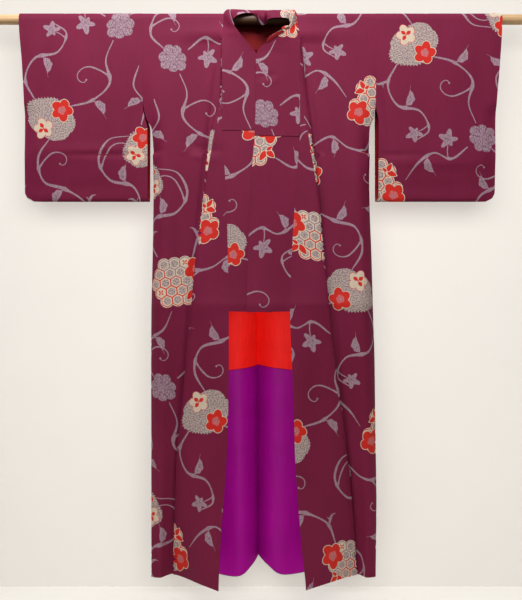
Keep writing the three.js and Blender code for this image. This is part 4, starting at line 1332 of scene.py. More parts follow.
def bolt() -> Drawing:
    """Lay out one repeat of the woven pattern."""
    d = Drawing()
    vines = [
        Vine(
            [(214, 706), (196, 650), (140, 612), (84, 592), (70, 530), (106, 470)],
            7.6,
            [(0.16, Shoot.HOOK, 1, 24), (0.4, Shoot.LEAF, -1, 54), (0.7, Shoot.CURL, 1, 32)],
        ),
        Vine(
            [(156, 392), (214, 376), (262, 330), (252, 268), (272, 214)],
            7.0,
            [(0.25, Shoot.LEAF, 1, 54), (0.6, Shoot.CURL, -1, 34)],
        ),
        Vine(
            [(250, 150), (206, 118), (160, 134), (118, 108), (84, 62)],
            6.8,
            [(0.3, Shoot.STAR, -1, 42), (0.6, Shoot.LEAF, 1, 52)],
        ),
        Vine(
            [(308, 706), (342, 656), (322, 604), (262, 588), (232, 536), (258, 482), (312, 470)],
            7.4,
            [(0.16, Shoot.HOOK, -1, 24), (0.38, Shoot.LEAF, 1, 54), (0.62, Shoot.CURL, 1, 38)],
        ),
        Vine(
            [(180, 812), (128, 836), (84, 806), (40, 800), (18, 838), (24, 900)],
            6.8,
            [(0.24, Shoot.LEAF, 1, 50), (0.55, Shoot.CURL, 1, 34)],
        ),
        Vine(
            [(60, 372), (36, 318), (62, 262), (122, 246), (146, 196), (112, 168)],
            6.8,
            [(0.18, Shoot.HOOK, -1, 24), (0.5, Shoot.LEAF, 1, 54), (0.8, Shoot.STAR, -1, 36)],
        ),
        Vine([(346, 440), (356, 384), (326, 336), (340, 282)], 6.2, [(0.4, Shoot.LEAF, -1, 50)]),
        Vine(
            [(316, 146), (350, 108), (334, 52), (286, 20), (262, -30)],
            6.8,
            [(0.32, Shoot.CURL, -1, 30), (0.62, Shoot.LEAF, -1, 50)],
        ),
        Vine([(30, 700), (14, 650), (34, 600)], 5.0, [(0.45, Shoot.LEAF, 1, 46)]),
    ]
    for vine in vines:
        vine.draw(d)
    d.lattice((254, 772), (64, 60), 8)
    d.plum((200, 738), 33, 20, Yarn.RED)
    d.leaf_pair((206, 792), 34, 100)
    d.stipple((104, 424), (68, 54), 24, 5)
    d.plum((134, 402), 29, 5, Yarn.RED)
    d.plum((84, 450), 26, 40, Yarn.CREAM)
    d.flower((290, 176), 38, 12, 7)
    d.lattice((12, 48), (56, 60), 22)
    d.plum((52, 22), 31, 48, Yarn.RED)
    d.leaf_pair((34, 84), 30, 20)
    d.stipple((352, 500), (60, 47), -30, 9)
    d.plum((330, 520), 25, 15, Yarn.CREAM)
    d.plum((350, 474), 28, 30, Yarn.RED)
    return d


def inside(points: Array, outline: Array) -> Array:
    """Tell which points lie inside a closed outline, by how often it winds round them."""
    a, b = outline, np.roll(outline, -1, axis=0)
    winding = np.zeros(len(points), int)
    x, y = points[:, 0], points[:, 1]
    for (ax, ay), (bx, by) in zip(a, b):
        if ay == by:
            continue
        left = (bx - ax) * (y - ay) - (x - ax) * (by - ay)
        upwards, downwards = (ay <= y) & (by > y) & (left > 0), (ay > y) & (by <= y) & (left < 0)
        winding += upwards.astype(int) - downwards.astype(int)
    return winding != 0


class Weaver:
    """Cuts outlines into a flat cloth and knows the yarn of every triangle."""

    CLEAR = 1.5

    def __init__(self, edge: Array, figures: list[Figure]) -> None:
        """Keep the cloth's edge and the figures that reach into it."""
        low, high = edge.min(axis=0), edge.max(axis=0)
        self.edge = edge
        self.figures = [
            f
            for f in figures
            if (f.outline.max(axis=0) > low).all() and (f.outline.min(axis=0) < high).all()
        ]

    def cells(self, points: Array) -> Array:
        """Give the number of the small square that each point lies in."""
        square = np.floor(points / self.CLEAR).astype(np.int64) + 100_000
        return square[:, 0] * 1_000_000 + square[:, 1]

    def open_places(self, nodes: Array, lines: list[Array]) -> Array:
        """Leave out the nodes that lie close to a line."""
        samples = []
        for line in lines:
            ahead = np.roll(line, -1, axis=0)
            count = np.maximum(1, np.ceil(np.linalg.norm(ahead - line, axis=1) / self.CLEAR)).astype(int)
            for a, b, n in zip(line, ahead, count):
                samples.append(a + (b - a) * (np.arange(n) / n)[:, None])
        taken = np.concatenate(samples)
        near = [self.cells(taken + np.array([i, j]) * self.CLEAR) for i in (-1, 0, 1) for j in (-1, 0, 1)]
        return nodes[~np.isin(self.cells(nodes), np.unique(np.concatenate(near)))]

    def triangles(self, nodes: Array, lines: list[Array]) -> tuple[Array, Array]:
        """Fill the cloth with triangles that follow every line.

        Args:
            nodes: Places inside the cloth that the mesh should have.
            lines: Closed outlines that the triangles' edges follow, the cloth's own edge first.

        Returns:
            The corners' places and the triangles' corner numbers, only inside the cloth.
        """
        nodes = self.open_places(nodes, lines)
        places, edges, first = [nodes], [], len(nodes)
        for line in lines:
            number = np.arange(len(line)) + first
            edges += list(zip(number.tolist(), np.roll(number, -1).tolist()))
            places.append(line)
            first += len(line)
        found = delaunay_2d_cdt([Vector(p) for p in np.concatenate(places).tolist()], edges, [], 0, 1e-4)
        corners = np.array([tuple(p) for p in found[0]], float)
        faces = np.array([f for f in found[2] if len(f) == 3], int)
        middle = corners[faces].mean(axis=1)
        a, b, c = (corners[faces[:, k]] for k in range(3))
        size = (b[:, 0] - a[:, 0]) * (c[:, 1] - a[:, 1]) - (b[:, 1] - a[:, 1]) * (c[:, 0] - a[:, 0])
        keep = inside(middle, self.edge) & (np.abs(size) > 1e-7)
        faces = faces[keep]
        flipped = size[keep] < 0
        faces[flipped] = faces[flipped][:, ::-1]
        used, faces = np.unique(faces, return_inverse=True)
        return corners[used], faces.reshape(-1, 3)

    def yarns(self, corners: Array, faces: Array) -> Array:
        """Give the yarn that shows on each triangle, the last figure over the earlier ones."""
        middle = corners[faces].mean(axis=1)
        yarn = np.full(len(faces), int(Yarn.GROUND))
        order = np.argsort(middle[:, 1])
        height = middle[order, 1]
        for figure in self.figures:
            low, high = figure.outline.min(axis=0), figure.outline.max(axis=0)
            near = order[np.searchsorted(height, low[1]) : np.searchsorted(height, high[1])]
            near = near[(middle[near, 0] > low[0]) & (middle[near, 0] < high[0])]
            yarn[near[inside(middle[near], figure.outline)]] = int(figure.yarn)
        return yarn


def edge_pairs(faces: Array) -> Array:
    """Give the directed edges that only one triangle has."""
    pairs = np.concatenate([faces[:, [0, 1]], faces[:, [1, 2]], faces[:, [2, 0]]])
    key = np.sort(pairs, axis=1)
    _, index, count = np.unique(key, axis=0, return_index=True, return_counts=True)
    return pairs[index[count == 1]]


def loops_of(pairs: Array) -> list[Array]:
    """Chain directed edges into closed loops of corner numbers."""
    following = dict(pairs.tolist())
    loops = []
    while following:
        start, at = next(iter(following.items()))
        loop = [start]
        del following[start]
        while at != start:
            loop.append(at)
            at = following.pop(at)
        loops.append(np.array(loop))
    return loops


@dataclass
class Panel:
    """A cloth piece with thickness: an outer face with its woven figures, an inner face and a rim.

    outer, inner: how far the two faces lie from the lattice, outwards, in millimetres.
    reverse: the yarn of the inner face. rim: the yarn of the cut edge.
    fine, coarse: the strides of the outer and inner faces' nodes.
    purple_from: the distance along the cloth past which the inner face and the rim are purple.
    """

    name: str
    cloth: Cloth
    outer: float = SIZES.cloth / 2
    inner: float = -SIZES.cloth / 2
    edge: Array | None = None
    figures: list[Figure] = field(default_factory=list)
    reverse: Yarn = Yarn.RED_LINING
    rim: Yarn = Yarn.GROUND
    ground: Yarn = Yarn.GROUND
    fine: tuple[int, int] = (2, 2)
    coarse: tuple[int, int] = (5, 4)
    purple_from: float = math.inf

    def build(self, finish: bpy.types.Material) -> bpy.types.Object:
        """Make the mesh and dress it.

        Args:
            finish: The material, which reads the yarn of each face.

        Returns:
            The object, in metres.
        """
        edge = self.cloth.outline(self.fine) if self.edge is None else self.edge
        weaver = Weaver(edge, self.figures)
        lines = [edge, *(f.outline for f in weaver.figures)]
        corners, faces = weaver.triangles(self.cloth.nodes(self.fine), lines)
        yarn = weaver.yarns(corners, faces)
        yarn[yarn == int(Yarn.GROUND)] = int(self.ground)
        loop = max(loops_of(edge_pairs(faces)), key=len)
        border = corners[loop]
        back = Weaver(border, [])
        under, back_faces = back.triangles(self.cloth.nodes(self.coarse), [border])
        front_at, front_normal, front_shade = self.cloth.places(corners)
        back_at, back_normal, back_shade = self.cloth.places(under)
        points = np.concatenate([front_at + front_normal * self.outer, back_at + back_normal * self.inner])
        back_of = self.matching(border, under) + len(corners)
        ahead, back_ahead = np.roll(loop, -1), np.roll(back_of, -1)
        rim = np.stack([ahead, loop, back_of, back_ahead], axis=1)
        along = points[ahead] - points[loop]
        rim_normal = unit_rows(np.cross(along, points[loop] - points[back_of]))
        if self.points_in(rim_normal, points, loop, faces):
            rim_normal = -rim_normal
        here, there = (unit_rows(rim_normal + np.roll(rim_normal, k, axis=0)) for k in (1, -1))
        rim_normals = np.stack([there, here, here, there], axis=1)
        back_faces = back_faces[:, ::-1]
        if self.faces_inwards(points, faces, front_normal):
            faces, back_faces = faces[:, ::-1], back_faces[:, ::-1]
            rim, rim_normals = rim[:, ::-1], rim_normals[:, ::-1]
        parts = [faces, back_faces + len(corners), rim]
        reverse = np.full(len(back_faces), int(self.reverse))
        reverse[np.abs(under[back_faces, 1]).min(axis=1) > self.purple_from] = int(Yarn.PURPLE_LINING)
        kinds = np.concatenate([yarn, reverse, np.full(len(rim), int(self.rim))])
        flat = np.concatenate([part.ravel() for part in parts[:2]])
        both = np.concatenate([front_shade, -back_shade])
        normals = np.concatenate([both[flat], rim_normals.reshape(-1, 3)])
        uv = np.concatenate([corners, under]) * MM
        return self.mesh(points, parts, kinds, uv, normals, finish)

    @staticmethod
    def faces_inwards(points: Array, faces: Array, normals: Array) -> bool:
        """Tell whether the triangles' order turns their fronts away from the outside."""
        a, b, c = (points[faces[:, k]] for k in range(3))
        return float((np.cross(b - a, c - a) * normals[faces[:, 0]]).sum()) < 0

    @staticmethod
    def points_in(rim_normal: Array, points: Array, loop: Array, faces: Array) -> bool:
        """Tell whether the rim's normals point into the cloth."""
        members = np.zeros(len(points), bool)
        members[loop] = True
        total = np.zeros((len(points), 3))
        for k in range(3):
            np.add.at(total, faces[:, k], points[faces].mean(axis=1) - points[faces[:, k]])
        return float((unit_rows(total[loop]) * rim_normal).sum()) > 0

    @staticmethod
    def matching(border: Array, under: Array) -> Array:
        """Find each border place among the inner face's corners."""
        number = {tuple(p): i for i, p in enumerate(np.round(under, 3).tolist())}
        found = [number.get(tuple(p), -1) for p in np.round(border, 3).tolist()]
        for k, i in enumerate(found):
            if i < 0:
                found[k] = int(np.argmin(np.linalg.norm(under - border[k], axis=1)))
        return np.array(found)

    def mesh(
        self,
        points: Array,
        parts: list[Array],
        kinds: Array,
        uv: Array,
        normals: Array,
        finish: bpy.types.Material,
    ) -> bpy.types.Object:
        """Turn the parts into one Blender mesh.

        Args:
            points: The corners, in millimetres.
            parts: The faces' corner numbers, part by part.
            kinds: Each face's yarn.
            uv: Each corner's cloth coordinates, in metres.
            normals: One normal for each corner of each face.
            finish: The material.

        Returns:
            The object.
        """
        data = bpy.data.meshes.new(self.name)
        sizes = np.concatenate([np.full(len(part), part.shape[1]) for part in parts])
        flat = np.concatenate([part.ravel() for part in parts]).astype(np.int32)
        data.vertices.add(len(points))
        data.vertices.foreach_set("co", (points * MM).astype(np.float32).ravel())
        data.loops.add(len(flat))
        data.loops.foreach_set("vertex_index", flat)
        data.polygons.add(len(sizes))
        data.polygons.foreach_set("loop_start", np.concatenate([[0], np.cumsum(sizes)[:-1]]).astype(np.int32))
        data.update(calc_edges=True)
        data.uv_layers.new(name="Cloth").data.foreach_set("uv", uv[flat].astype(np.float32).ravel())
        data.attributes.new("yarn", "FLOAT", "CORNER").data.foreach_set(
            "value", np.repeat(kinds, sizes).astype(np.float32)
        )
        data.polygons.foreach_set("use_smooth", np.ones(len(sizes), bool))
        data.normals_split_custom_set(normals.tolist())
        data.materials.append(finish)
        piece = in_scene(self.name, data)
        LOG.info("%s: %d triangles", self.name, int((sizes - 2).sum()))
        return piece


@dataclass(frozen=True)
class Stitching:
    """Rows of small hand stitches on a cloth: each row follows its own path in cloth coordinates.

    lift: how far the thread lies off the lattice, outwards, in millimetres.
    pitch, length, thread: the distance between stitches, a stitch's length and its radius, in millimetres.
    """

    name: str
    cloth: Cloth
    rows: list[Array]
    lift: float = SIZES.cloth / 2 + SIZES.thread_stands_off
    pitch: float = 5.0
    length: float = 2.6
    thread: float = 0.32
    seed: int = 11

    def build(self, finish: bpy.types.Material) -> bpy.types.Object:
        """Sew the rows and give them back as one plain mesh that rides with the garment."""
        guide = bpy.data.curves.new(self.name, "CURVE")
        guide.dimensions = "3D"
        for row in self.rows:
            at, out, _ = self.cloth.places(row)
            line = guide.splines.new("POLY")
            line.points.add(len(row) - 1)
            places = np.concatenate([(at + out * self.lift) * MM, np.ones((len(row), 1))], axis=1)
            line.points.foreach_set("co", places.astype(np.float32).ravel())
        path = in_scene(self.name + "_path", guide)
        tree = self.tree()
        values = {
            "Pitch": self.pitch * MM,
            "Length": self.length * MM,
            "Thread": self.thread * MM,
            "Seed": self.seed,
            "Silk": finish,
        }
        modifier = path.modifiers.new("stitches", "NODES")
        modifier.node_group = tree
        for socket in tree.interface.items_tree:
            if socket.in_out == "INPUT" and socket.name in values:
                modifier[socket.identifier] = values[socket.name]
        bpy.context.view_layer.update()
        data = bpy.data.meshes.new_from_object(path.evaluated_get(bpy.context.evaluated_depsgraph_get()))
        data.name = self.name
        path.modifiers.clear()
        bpy.data.objects.remove(path)
        piece = in_scene(self.name, data)
        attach(piece, "root")
        LOG.info("%s: %d triangles", self.name, sum(len(face.vertices) - 2 for face in data.polygons))
        return piece

    @staticmethod
    def tree() -> bpy.types.NodeTree:
        """Build the tree that sets a stitch at every step along each path."""
        tree = bpy.data.node_groups.new("Stitches", "GeometryNodeTree")
        tree.interface.new_socket("Geometry", in_out="INPUT", socket_type="NodeSocketGeometry")
        for name, kind in (
            ("Pitch", "Float"),
            ("Length", "Float"),
            ("Thread", "Float"),
            ("Seed", "Int"),
            ("Silk", "Material"),
        ):
            tree.interface.new_socket(name, in_out="INPUT", socket_type="NodeSocket" + kind)
        tree.interface.new_socket("Geometry", in_out="OUTPUT", socket_type="NodeSocketGeometry")
        add, link = tree.nodes.new, tree.links.new
        given, result = add("NodeGroupInput"), add("NodeGroupOutput")
        steps = add("GeometryNodeCurveToPoints")
        steps.mode = "LENGTH"
        link(given.outputs["Geometry"], steps.inputs["Curve"])
        link(given.outputs["Pitch"], steps.inputs["Length"])
        bead = add("GeometryNodeMeshUVSphere")
        bead.inputs["Segments"].default_value, bead.inputs["Rings"].default_value = 6, 4
        bead.inputs["Radius"].default_value = 1.0
        half = add("ShaderNodeMath")
        half.operation = "MULTIPLY"
        half.inputs[1].default_value = 0.5
        link(given.outputs["Length"], half.inputs[0])
        shape = add("ShaderNodeCombineXYZ")
        for socket, source in (
            ("X", given.outputs["Thread"]), ("Y", given.outputs["Thread"]), ("Z", half.outputs[0])
        ):
            link(source, shape.inputs[socket])
        uneven = add("FunctionNodeRandomValue")
        uneven.data_type = "FLOAT_VECTOR"
        uneven.inputs[0].default_value = (0.85, 0.85, 0.75)
        uneven.inputs[1].default_value = (1.15, 1.15, 1.15)
        link(given.outputs["Seed"], uneven.inputs["Seed"])
        size = add("ShaderNodeVectorMath")
        size.operation = "MULTIPLY"
        link(shape.outputs[0], size.inputs[0])
        link(uneven.outputs[0], size.inputs[1])
        sew = add("GeometryNodeInstanceOnPoints")
        for socket, source in (("Points", steps.outputs["Points"]), ("Instance", bead.outputs["Mesh"]),
                               ("Rotation", steps.outputs["Rotation"]), ("Scale", size.outputs[0])):
            link(source, sew.inputs[socket])
        whole, dressed = add("GeometryNodeRealizeInstances"), add("GeometryNodeSetMaterial")
        link(sew.outputs["Instances"], whole.inputs["Geometry"])
        link(whole.outputs["Geometry"], dressed.inputs["Geometry"])
        link(given.outputs["Silk"], dressed.inputs["Material"])
        link(dressed.outputs["Geometry"], result.inputs["Geometry"])
        return tree


def beside_edge(cloth: Cloth, column: int, inset: float, low: float, high: float) -> Array:
    """Give a row of places beside a lattice's edge column, between two distances along the cloth."""
    runs = cloth.v[(cloth.v > low) & (cloth.v < high)]
    return np.array([(float(np.interp(v, cloth.v, cloth.u[:, column])) + inset, float(v)) for v in runs])


@dataclass(frozen=True)
class Wire:
    """A value in a shader, on which Python's operators add nodes."""

    shader: "Shader"
    socket: bpy.types.NodeSocket

    def __add__(self, other: "Wire | float") -> "Wire":
        """Add."""
        return self.shader.maths("ADD", self, other)

    def __sub__(self, other: "Wire | float") -> "Wire":
        """Subtract."""
        return self.shader.maths("SUBTRACT", self, other)

    def __rsub__(self, other: float) -> "Wire":
        """Subtract from a number."""
        return self.shader.maths("SUBTRACT", other, self)

    def __mul__(self, other: "Wire | float") -> "Wire":
        """Multiply."""
        return self.shader.maths("MULTIPLY", self, other)

    __radd__, __rmul__ = __add__, __mul__

    def is_near(self, value: float) -> "Wire":
        """Give 1 where this is near a value and 0 elsewhere."""
        return self.shader.maths("COMPARE", self, value, 0.4)

    def step(self, low: float, high: float) -> "Wire":
        """Give 0 below a value, 1 above another and a ramp between."""
        ramp_node = self.shader.node(
            "ShaderNodeMapRange",
            {"interpolation_type": "SMOOTHSTEP"},
            {"Value": self, "From Min": low, "From Max": high},
        )
        return self.shader.out(ramp_node, "Result")


class Shader:
    """A material under construction."""

    def __init__(self, name: str) -> None:
        """Make an empty node material."""
        self.material = bpy.data.materials.new(name)
        self.material.use_nodes = True
        self.tree = self.material.node_tree
        self.tree.nodes.clear()

    def node(self, kind: str, settings: dict | None = None, inputs: dict | None = None) -> bpy.types.Node:
        """Add a node.

        Args:
            kind: Its type.
            settings: Its own options, which are set first.
            inputs: Values or wires for its sockets, by name or number.

        Returns:
            The node.
        """
        made = self.tree.nodes.new(kind)
        for name, value in (settings or {}).items():
            setattr(made, name, value)
        for name, value in (inputs or {}).items():
            socket = made.inputs[name]
            if isinstance(value, Wire):
                self.tree.links.new(value.socket, socket)
            else:
                socket.default_value = value
        return made

    def out(self, node: bpy.types.Node, name: str | int = 0) -> Wire:
        """Give one of a node's outputs."""
        return Wire(self, node.outputs[name])

    def maths(self, operation: str, *values: Wire | float) -> Wire:
        """Add a Math node."""
        return self.out(self.node("ShaderNodeMath", {"operation": operation}, dict(enumerate(values))))

    def blend(self, share: Wire | float, first: Wire | tuple, second: Wire | tuple) -> Wire:
        """Mix two colours."""
        node = self.node("ShaderNodeMix", {"data_type": "RGBA"}, {0: share, 6: first, 7: second})
        return self.out(node, 2)

    def scaled(self, vector: Wire, scale: tuple[float, float, float]) -> Wire:
        """Stretch a vector."""
        return self.out(self.node("ShaderNodeVectorMath", {"operation": "MULTIPLY"}, {0: vector, 1: scale}))

    def noise(self, vector: Wire, scale: float, detail: float = 2.0, rough: float = 0.5) -> Wire:
        """Add noise between 0 and 1."""
        node = self.node(
            "ShaderNodeTexNoise",
            {"noise_dimensions": "3D"},
            {"Vector": vector, "Scale": scale, "Detail": detail, "Roughness": rough},
        )
        return self.out(node, 0)

    def bump(self, height: Wire, strength: float, distance: float) -> Wire:
        """Turn a height into a normal."""
        node = self.node("ShaderNodeBump", {}, {"Strength": strength, "Distance": distance, "Height": height})
        return self.out(node, "Normal")

    def finish(self, sockets: dict) -> bpy.types.Material:
        """Close the material with a Principled surface that has these sockets."""
        surface = self.node("ShaderNodeBsdfPrincipled", {}, sockets)
        self.node("ShaderNodeOutputMaterial", {}, {"Surface": self.out(surface)})
        return self.material


def colour(red: float, green: float, blue: float) -> tuple[float, float, float, float]:
    """Turn a colour as seen on a screen, 0 to 255, into Blender's linear colour."""
    def linear(value: float) -> float:
        """Undo the screen's curve."""
        value /= 255
        return value / 12.92 if value <= 0.04045 else ((value + 0.055) / 1.055) ** 2.4

    return linear(red), linear(green), linear(blue), 1.0


@dataclass(frozen=True)
class WovenSilk:
    """Figured silk: a plum ground with fine cross threads, and brocade yarns for the figures."""

    name: str = "woven_silk"
    ground: tuple = colour(116, 28, 60)
    ground_deep: tuple = colour(102, 21, 50)
    vine: tuple = colour(158, 130, 142)
    vine_deep: tuple = colour(124, 92, 106)
    speckle: tuple = colour(176, 162, 154)
    speckle_deep: tuple = colour(122, 94, 98)
    cream: tuple = colour(200, 182, 160)
    red: tuple = colour(196, 40, 32)
    rose: tuple = colour(190, 92, 90)
    # Painted shade: the red lining on the silk's inner faces is a much darker copy of the red lining silk, as
    # it lies in shade inside the neck.
    shaded_lining_red: tuple = colour(116, 10, 16)
    lining_purple: tuple = colour(126, 4, 108)

    def material(self) -> bpy.types.Material:
        """Build the material, which reads each face's yarn."""
        s = Shader(self.name)
        uv = s.out(s.node("ShaderNodeUVMap", {"uv_map": "Cloth"}))
        yarn = s.out(s.node("ShaderNodeAttribute", {"attribute_name": "yarn"}), "Fac")
        slow = s.noise(s.scaled(uv, (1.0, 0.45, 1.0)), 7.0, 3.0, 0.6)
        streak = s.noise(s.scaled(uv, (520.0, 26.0, 1.0)), 1.0, 2.0, 0.55)
        weft = s.noise(s.scaled(uv, (90.0, 900.0, 1.0)), 1.0, 1.0, 0.5)
        crepe = s.noise(uv, 1500.0, 2.0, 0.6)
        dots = s.noise(uv, 300.0, 2.0, 0.75)
        strokes = s.noise(s.scaled(uv, (1.0, 0.35, 1.0)), 430.0, 2.0, 0.7)
        deep = (slow * 0.55 + streak * 0.3 + weft * 0.25).step(0.32, 0.82)
        tone = s.blend(deep, self.ground_deep, self.ground)
        vine = s.blend((dots * 0.7 + streak * 0.4).step(0.38, 0.66), self.vine_deep, self.vine)
        speckled = s.blend(dots.step(0.42, 0.56), self.speckle_deep, self.speckle)
        heather = s.blend(strokes.step(0.42, 0.56), self.darker(self.vine_deep, 0.8), self.vine)
        shaded = (weft * 0.6 + dots * 0.5).step(0.3, 0.66)
        cream = s.blend(shaded, self.darker(self.cream), self.cream)
        red = s.blend(shaded, self.darker(self.red), self.red)
        # The red inner faces, in painted shade.
        lining = s.blend(deep, self.darker(self.shaded_lining_red), self.shaded_lining_red)
        purple = s.blend(deep, self.darker(self.lining_purple), self.lining_purple)
        for kind, look in (
            (Yarn.VINE, vine),
            (Yarn.SPECKLED, speckled),
            (Yarn.CREAM, cream),
            (Yarn.RED, red),
            (Yarn.ROSE, self.rose),
            (Yarn.RED_LINING, lining),
            (Yarn.PURPLE_LINING, purple),
            (Yarn.HEATHER, heather),
        ):
            tone = s.blend(yarn.is_near(float(kind)), tone, look)
        figure = yarn.step(0.3, 0.7)
        rough = 0.66 - figure * 0.08 + (crepe - 0.5) * 0.14 + (slow - 0.5) * 0.1
        height = weft * 0.5 + crepe * 0.35 + streak * 0.3 + dots * figure * 0.8
        return s.finish({
            "Base Color": tone,
            "Roughness": rough,
            "Specular IOR Level": 0.12,
            "Sheen Weight": 0.03,
            "Sheen Roughness": 0.45,
            "Sheen Tint": colour(225, 150, 180),
            "Normal": s.bump(height, 0.35, 0.00012),
        })

    @staticmethod
    def darker(tone: tuple, share: float = 0.78) -> tuple:
        """Give a colour's shaded tone."""
        return (*(value * share for value in tone[:3]), 1.0)


@dataclass(frozen=True)
class LiningSilk:
    """Plain lining silk, smooth and thin, with a faint streak along the warp, and painted shade darkening it
    towards the top.
    """

    name: str
    tone: tuple
    deep: tuple

    def material(self) -> bpy.types.Material:
        """Build the material."""
        s = Shader(self.name)
        uv = s.out(s.node("ShaderNodeUVMap", {"uv_map": "Cloth"}))
        streak = s.noise(s.scaled(uv, (420.0, 12.0, 1.0)), 1.0, 2.0, 0.5)
        slow = s.noise(uv, 9.0, 3.0, 0.6)
        weave = s.noise(s.scaled(uv, (1500.0, 2200.0, 1.0)), 1.0, 1.0, 0.5)
        tone = s.blend((streak * 0.5 + slow * 0.6).step(0.3, 0.8), self.deep, self.tone)
        height = s.out(
            s.node("ShaderNodeSeparateXYZ", {}, {"Vector": s.out(s.node("ShaderNodeTexCoord"), "Object")}),
            "Z",
        )
        # Painted shade: the lining is made much darker above about 0.4 m below the rod, where it lies in
        # shade inside the neck and the sleeves.
        tone = s.blend(height.step(-0.62, -0.4), tone, WovenSilk.darker(self.deep, 0.2))
        return s.finish({
            "Base Color": tone,
            "Roughness": 0.5 + (weave - 0.5) * 0.16 + (slow - 0.5) * 0.1,
            "Specular IOR Level": 0.05,
            "Normal": s.bump(weave * 0.6 + streak * 0.5, 0.3, 0.0001),
        })


@dataclass(frozen=True)
class PaleWood:
    """Planed pale wood with a long grain and a dull oiled surface, with painted shade darkening its middle,
    inside the neck under the collar.
    """

    name: str = "pale_wood"
    light: tuple = colour(214, 180, 134)
    dark: tuple = colour(160, 118, 76)
    painted_shade: tuple = colour(74, 48, 26)

    def material(self) -> bpy.types.Material:
        """Build the material."""
        s = Shader(self.name)
        place = s.out(s.node("ShaderNodeTexCoord"), "Object")
        bent = s.noise(s.scaled(place, (1.2, 14.0, 14.0)), 1.0, 3.0, 0.6)
        rings = s.noise(s.scaled(place, (3.0, 260.0, 260.0)), 1.0, 4.0, 0.65)
        pores = s.noise(s.scaled(place, (60.0, 1500.0, 1500.0)), 1.0, 2.0, 0.5)
        grain = (rings * 0.75 + bent * 0.45).step(0.38, 0.8)
        planed = s.blend(grain * 0.75 + pores.step(0.62, 0.72) * 0.25, self.light, self.dark)
        across = s.out(s.node("ShaderNodeSeparateXYZ", {}, {"Vector": place}), "X")
        # Painted shade: the middle of the rod, inside the neck, is made dark as if the collar shaded it.
        tone = s.blend((across * across).step(0.009, 0.02), self.painted_shade, planed)
        return s.finish({
            "Base Color": tone,
            "Roughness": 0.44 + rings * 0.16,
            "Specular IOR Level": 0.4,
            "Normal": s.bump(rings * 0.6 + pores * 0.4, 0.25, 0.0002),
        })


@dataclass(frozen=True)
class Thread:
    """Spun silk thread in one colour."""

    name: str
    tone: tuple
    deep: tuple

    def material(self) -> bpy.types.Material:
        """Build the material."""
        s = Shader(self.name)
        place = s.out(s.node("ShaderNodeTexCoord"), "Object")
        twist = s.noise(place, 3000.0, 1.0, 0.5)
        return s.finish({
            "Base Color": s.blend(twist, self.deep, self.tone),
            "Roughness": 0.5 + (twist - 0.5) * 0.2,
            "Normal": s.bump(twist, 0.3, 0.0001),
        })


@dataclass(frozen=True)
class StudioPaint:
    """Matt off-white paint for the wall and the floor."""

    name: str
    tone: tuple

    def material(self) -> bpy.types.Material:
        """Build the material."""
        s = Shader(self.name)
        place = s.out(s.node("ShaderNodeTexCoord"), "Object")
        slow = s.noise(place, 1.6, 3.0, 0.6)
        fine = s.noise(place, 260.0, 3.0, 0.6)
        return s.finish({
            "Base Color": s.blend(slow.step(0.2, 0.8), WovenSilk.darker(self.tone, 0.965), self.tone),
            "Roughness": 0.78 + (fine - 0.5) * 0.12,
            "Specular IOR Level": 0.2,
            "Normal": s.bump(fine, 0.12, 0.0004),
        })


class Pattern:
    """The bolt that every piece is cut from: one repeat of woven figures, again and again along it."""

    def __init__(self) -> None:
        """Draw the repeat once."""
        self.repeat = bolt().figures

    def cut(self, edge: Array, start: float, flip: bool = False, across: float = 0.0) -> list[Figure]:
        """Give the figures that lie on a piece.

        Args:
            edge: The piece's edge in cloth coordinates.
            start: Where on the bolt the piece's lowest v lies.
            flip: Whether the piece is turned end for end on the bolt.
            across: Where on the bolt the piece's side edge lies.

        Returns:
            The figures in the piece's own cloth coordinates.
        """
        low, high = edge[:, 1].min(), edge[:, 1].max()
        sign = -1 if flip else 1
        centre = BOLT_WIDTH / 2

        def placed(outline: Array, shift: float) -> Array:
            """Move an outline from the bolt to the piece."""
            u = (outline[:, 0] - centre) * sign + centre - across
            return np.stack([u, (outline[:, 1] - start) * sign + shift], axis=1)

        found = []
        for turn in range(-6, 7):
            shift = turn * REPEAT
            for figure in self.repeat:
                outline = placed(figure.outline, shift)
                if outline[:, 1].max() > low and outline[:, 1].min() < high:
                    found.append(Figure(outline, figure.yarn))
        return found


@dataclass(frozen=True)
class Look:
    """The finishes, made once."""

    silk: bpy.types.Material
    red: bpy.types.Material
    purple: bpy.types.Material
    wood: bpy.types.Material
    shaded_red: bpy.types.Material
    thread: bpy.types.Material


def declare(piece: bpy.types.Object, node: str) -> None:
    """Fix a piece to the garment and hide the part of the model that it replaces."""
    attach(piece, "root")
    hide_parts(node)


@dataclass
class Rod:
    """The round wooden rod, with softened ends."""

    radius: float = SIZES.rod_radius
    length: float = SIZES.rod_length
    chamfer: float = 1.2
    sides: int = 72

    def build(self, look: Look) -> bpy.types.Object:
        """Turn the rod and dress it."""
        half = self.length / 2
        stations = [(-half, self.radius - self.chamfer), (-half + self.chamfer, self.radius)]
        stations += [(x, self.radius) for x in np.linspace(-half + 20, half - 20, 60)]
        stations += [(half - self.chamfer, self.radius), (half, self.radius - self.chamfer)]
        around = np.linspace(0, 2 * math.pi, self.sides, endpoint=False)
        points = [(x * MM, r * MM * math.cos(a), r * MM * math.sin(a)) for x, r in stations for a in around]
        faces = []
        for i in range(len(stations) - 1):
            for j in range(self.sides):
                k = (j + 1) % self.sides
                a, b = i * self.sides, (i + 1) * self.sides
                faces.append((a + j, a + k, b + k, b + j))
        last = (len(stations) - 1) * self.sides
        faces.append(tuple(range(self.sides))[::-1])
        faces.append(tuple(range(last, last + self.sides)))
        data = bpy.data.meshes.new("rod_wood")
        data.from_pydata(points, [], faces)
        rings = [i // self.sides for i in range(len(faces))]
        smooth = [len(f) == 4 and 0 < ring < len(stations) - 2 for ring, f in zip(rings, faces)]
        data.polygons.foreach_set("use_smooth", smooth)
        data.materials.append(look.wood)
        piece = in_scene("rod_wood", data)
        declare(piece, "rod")
        return piece


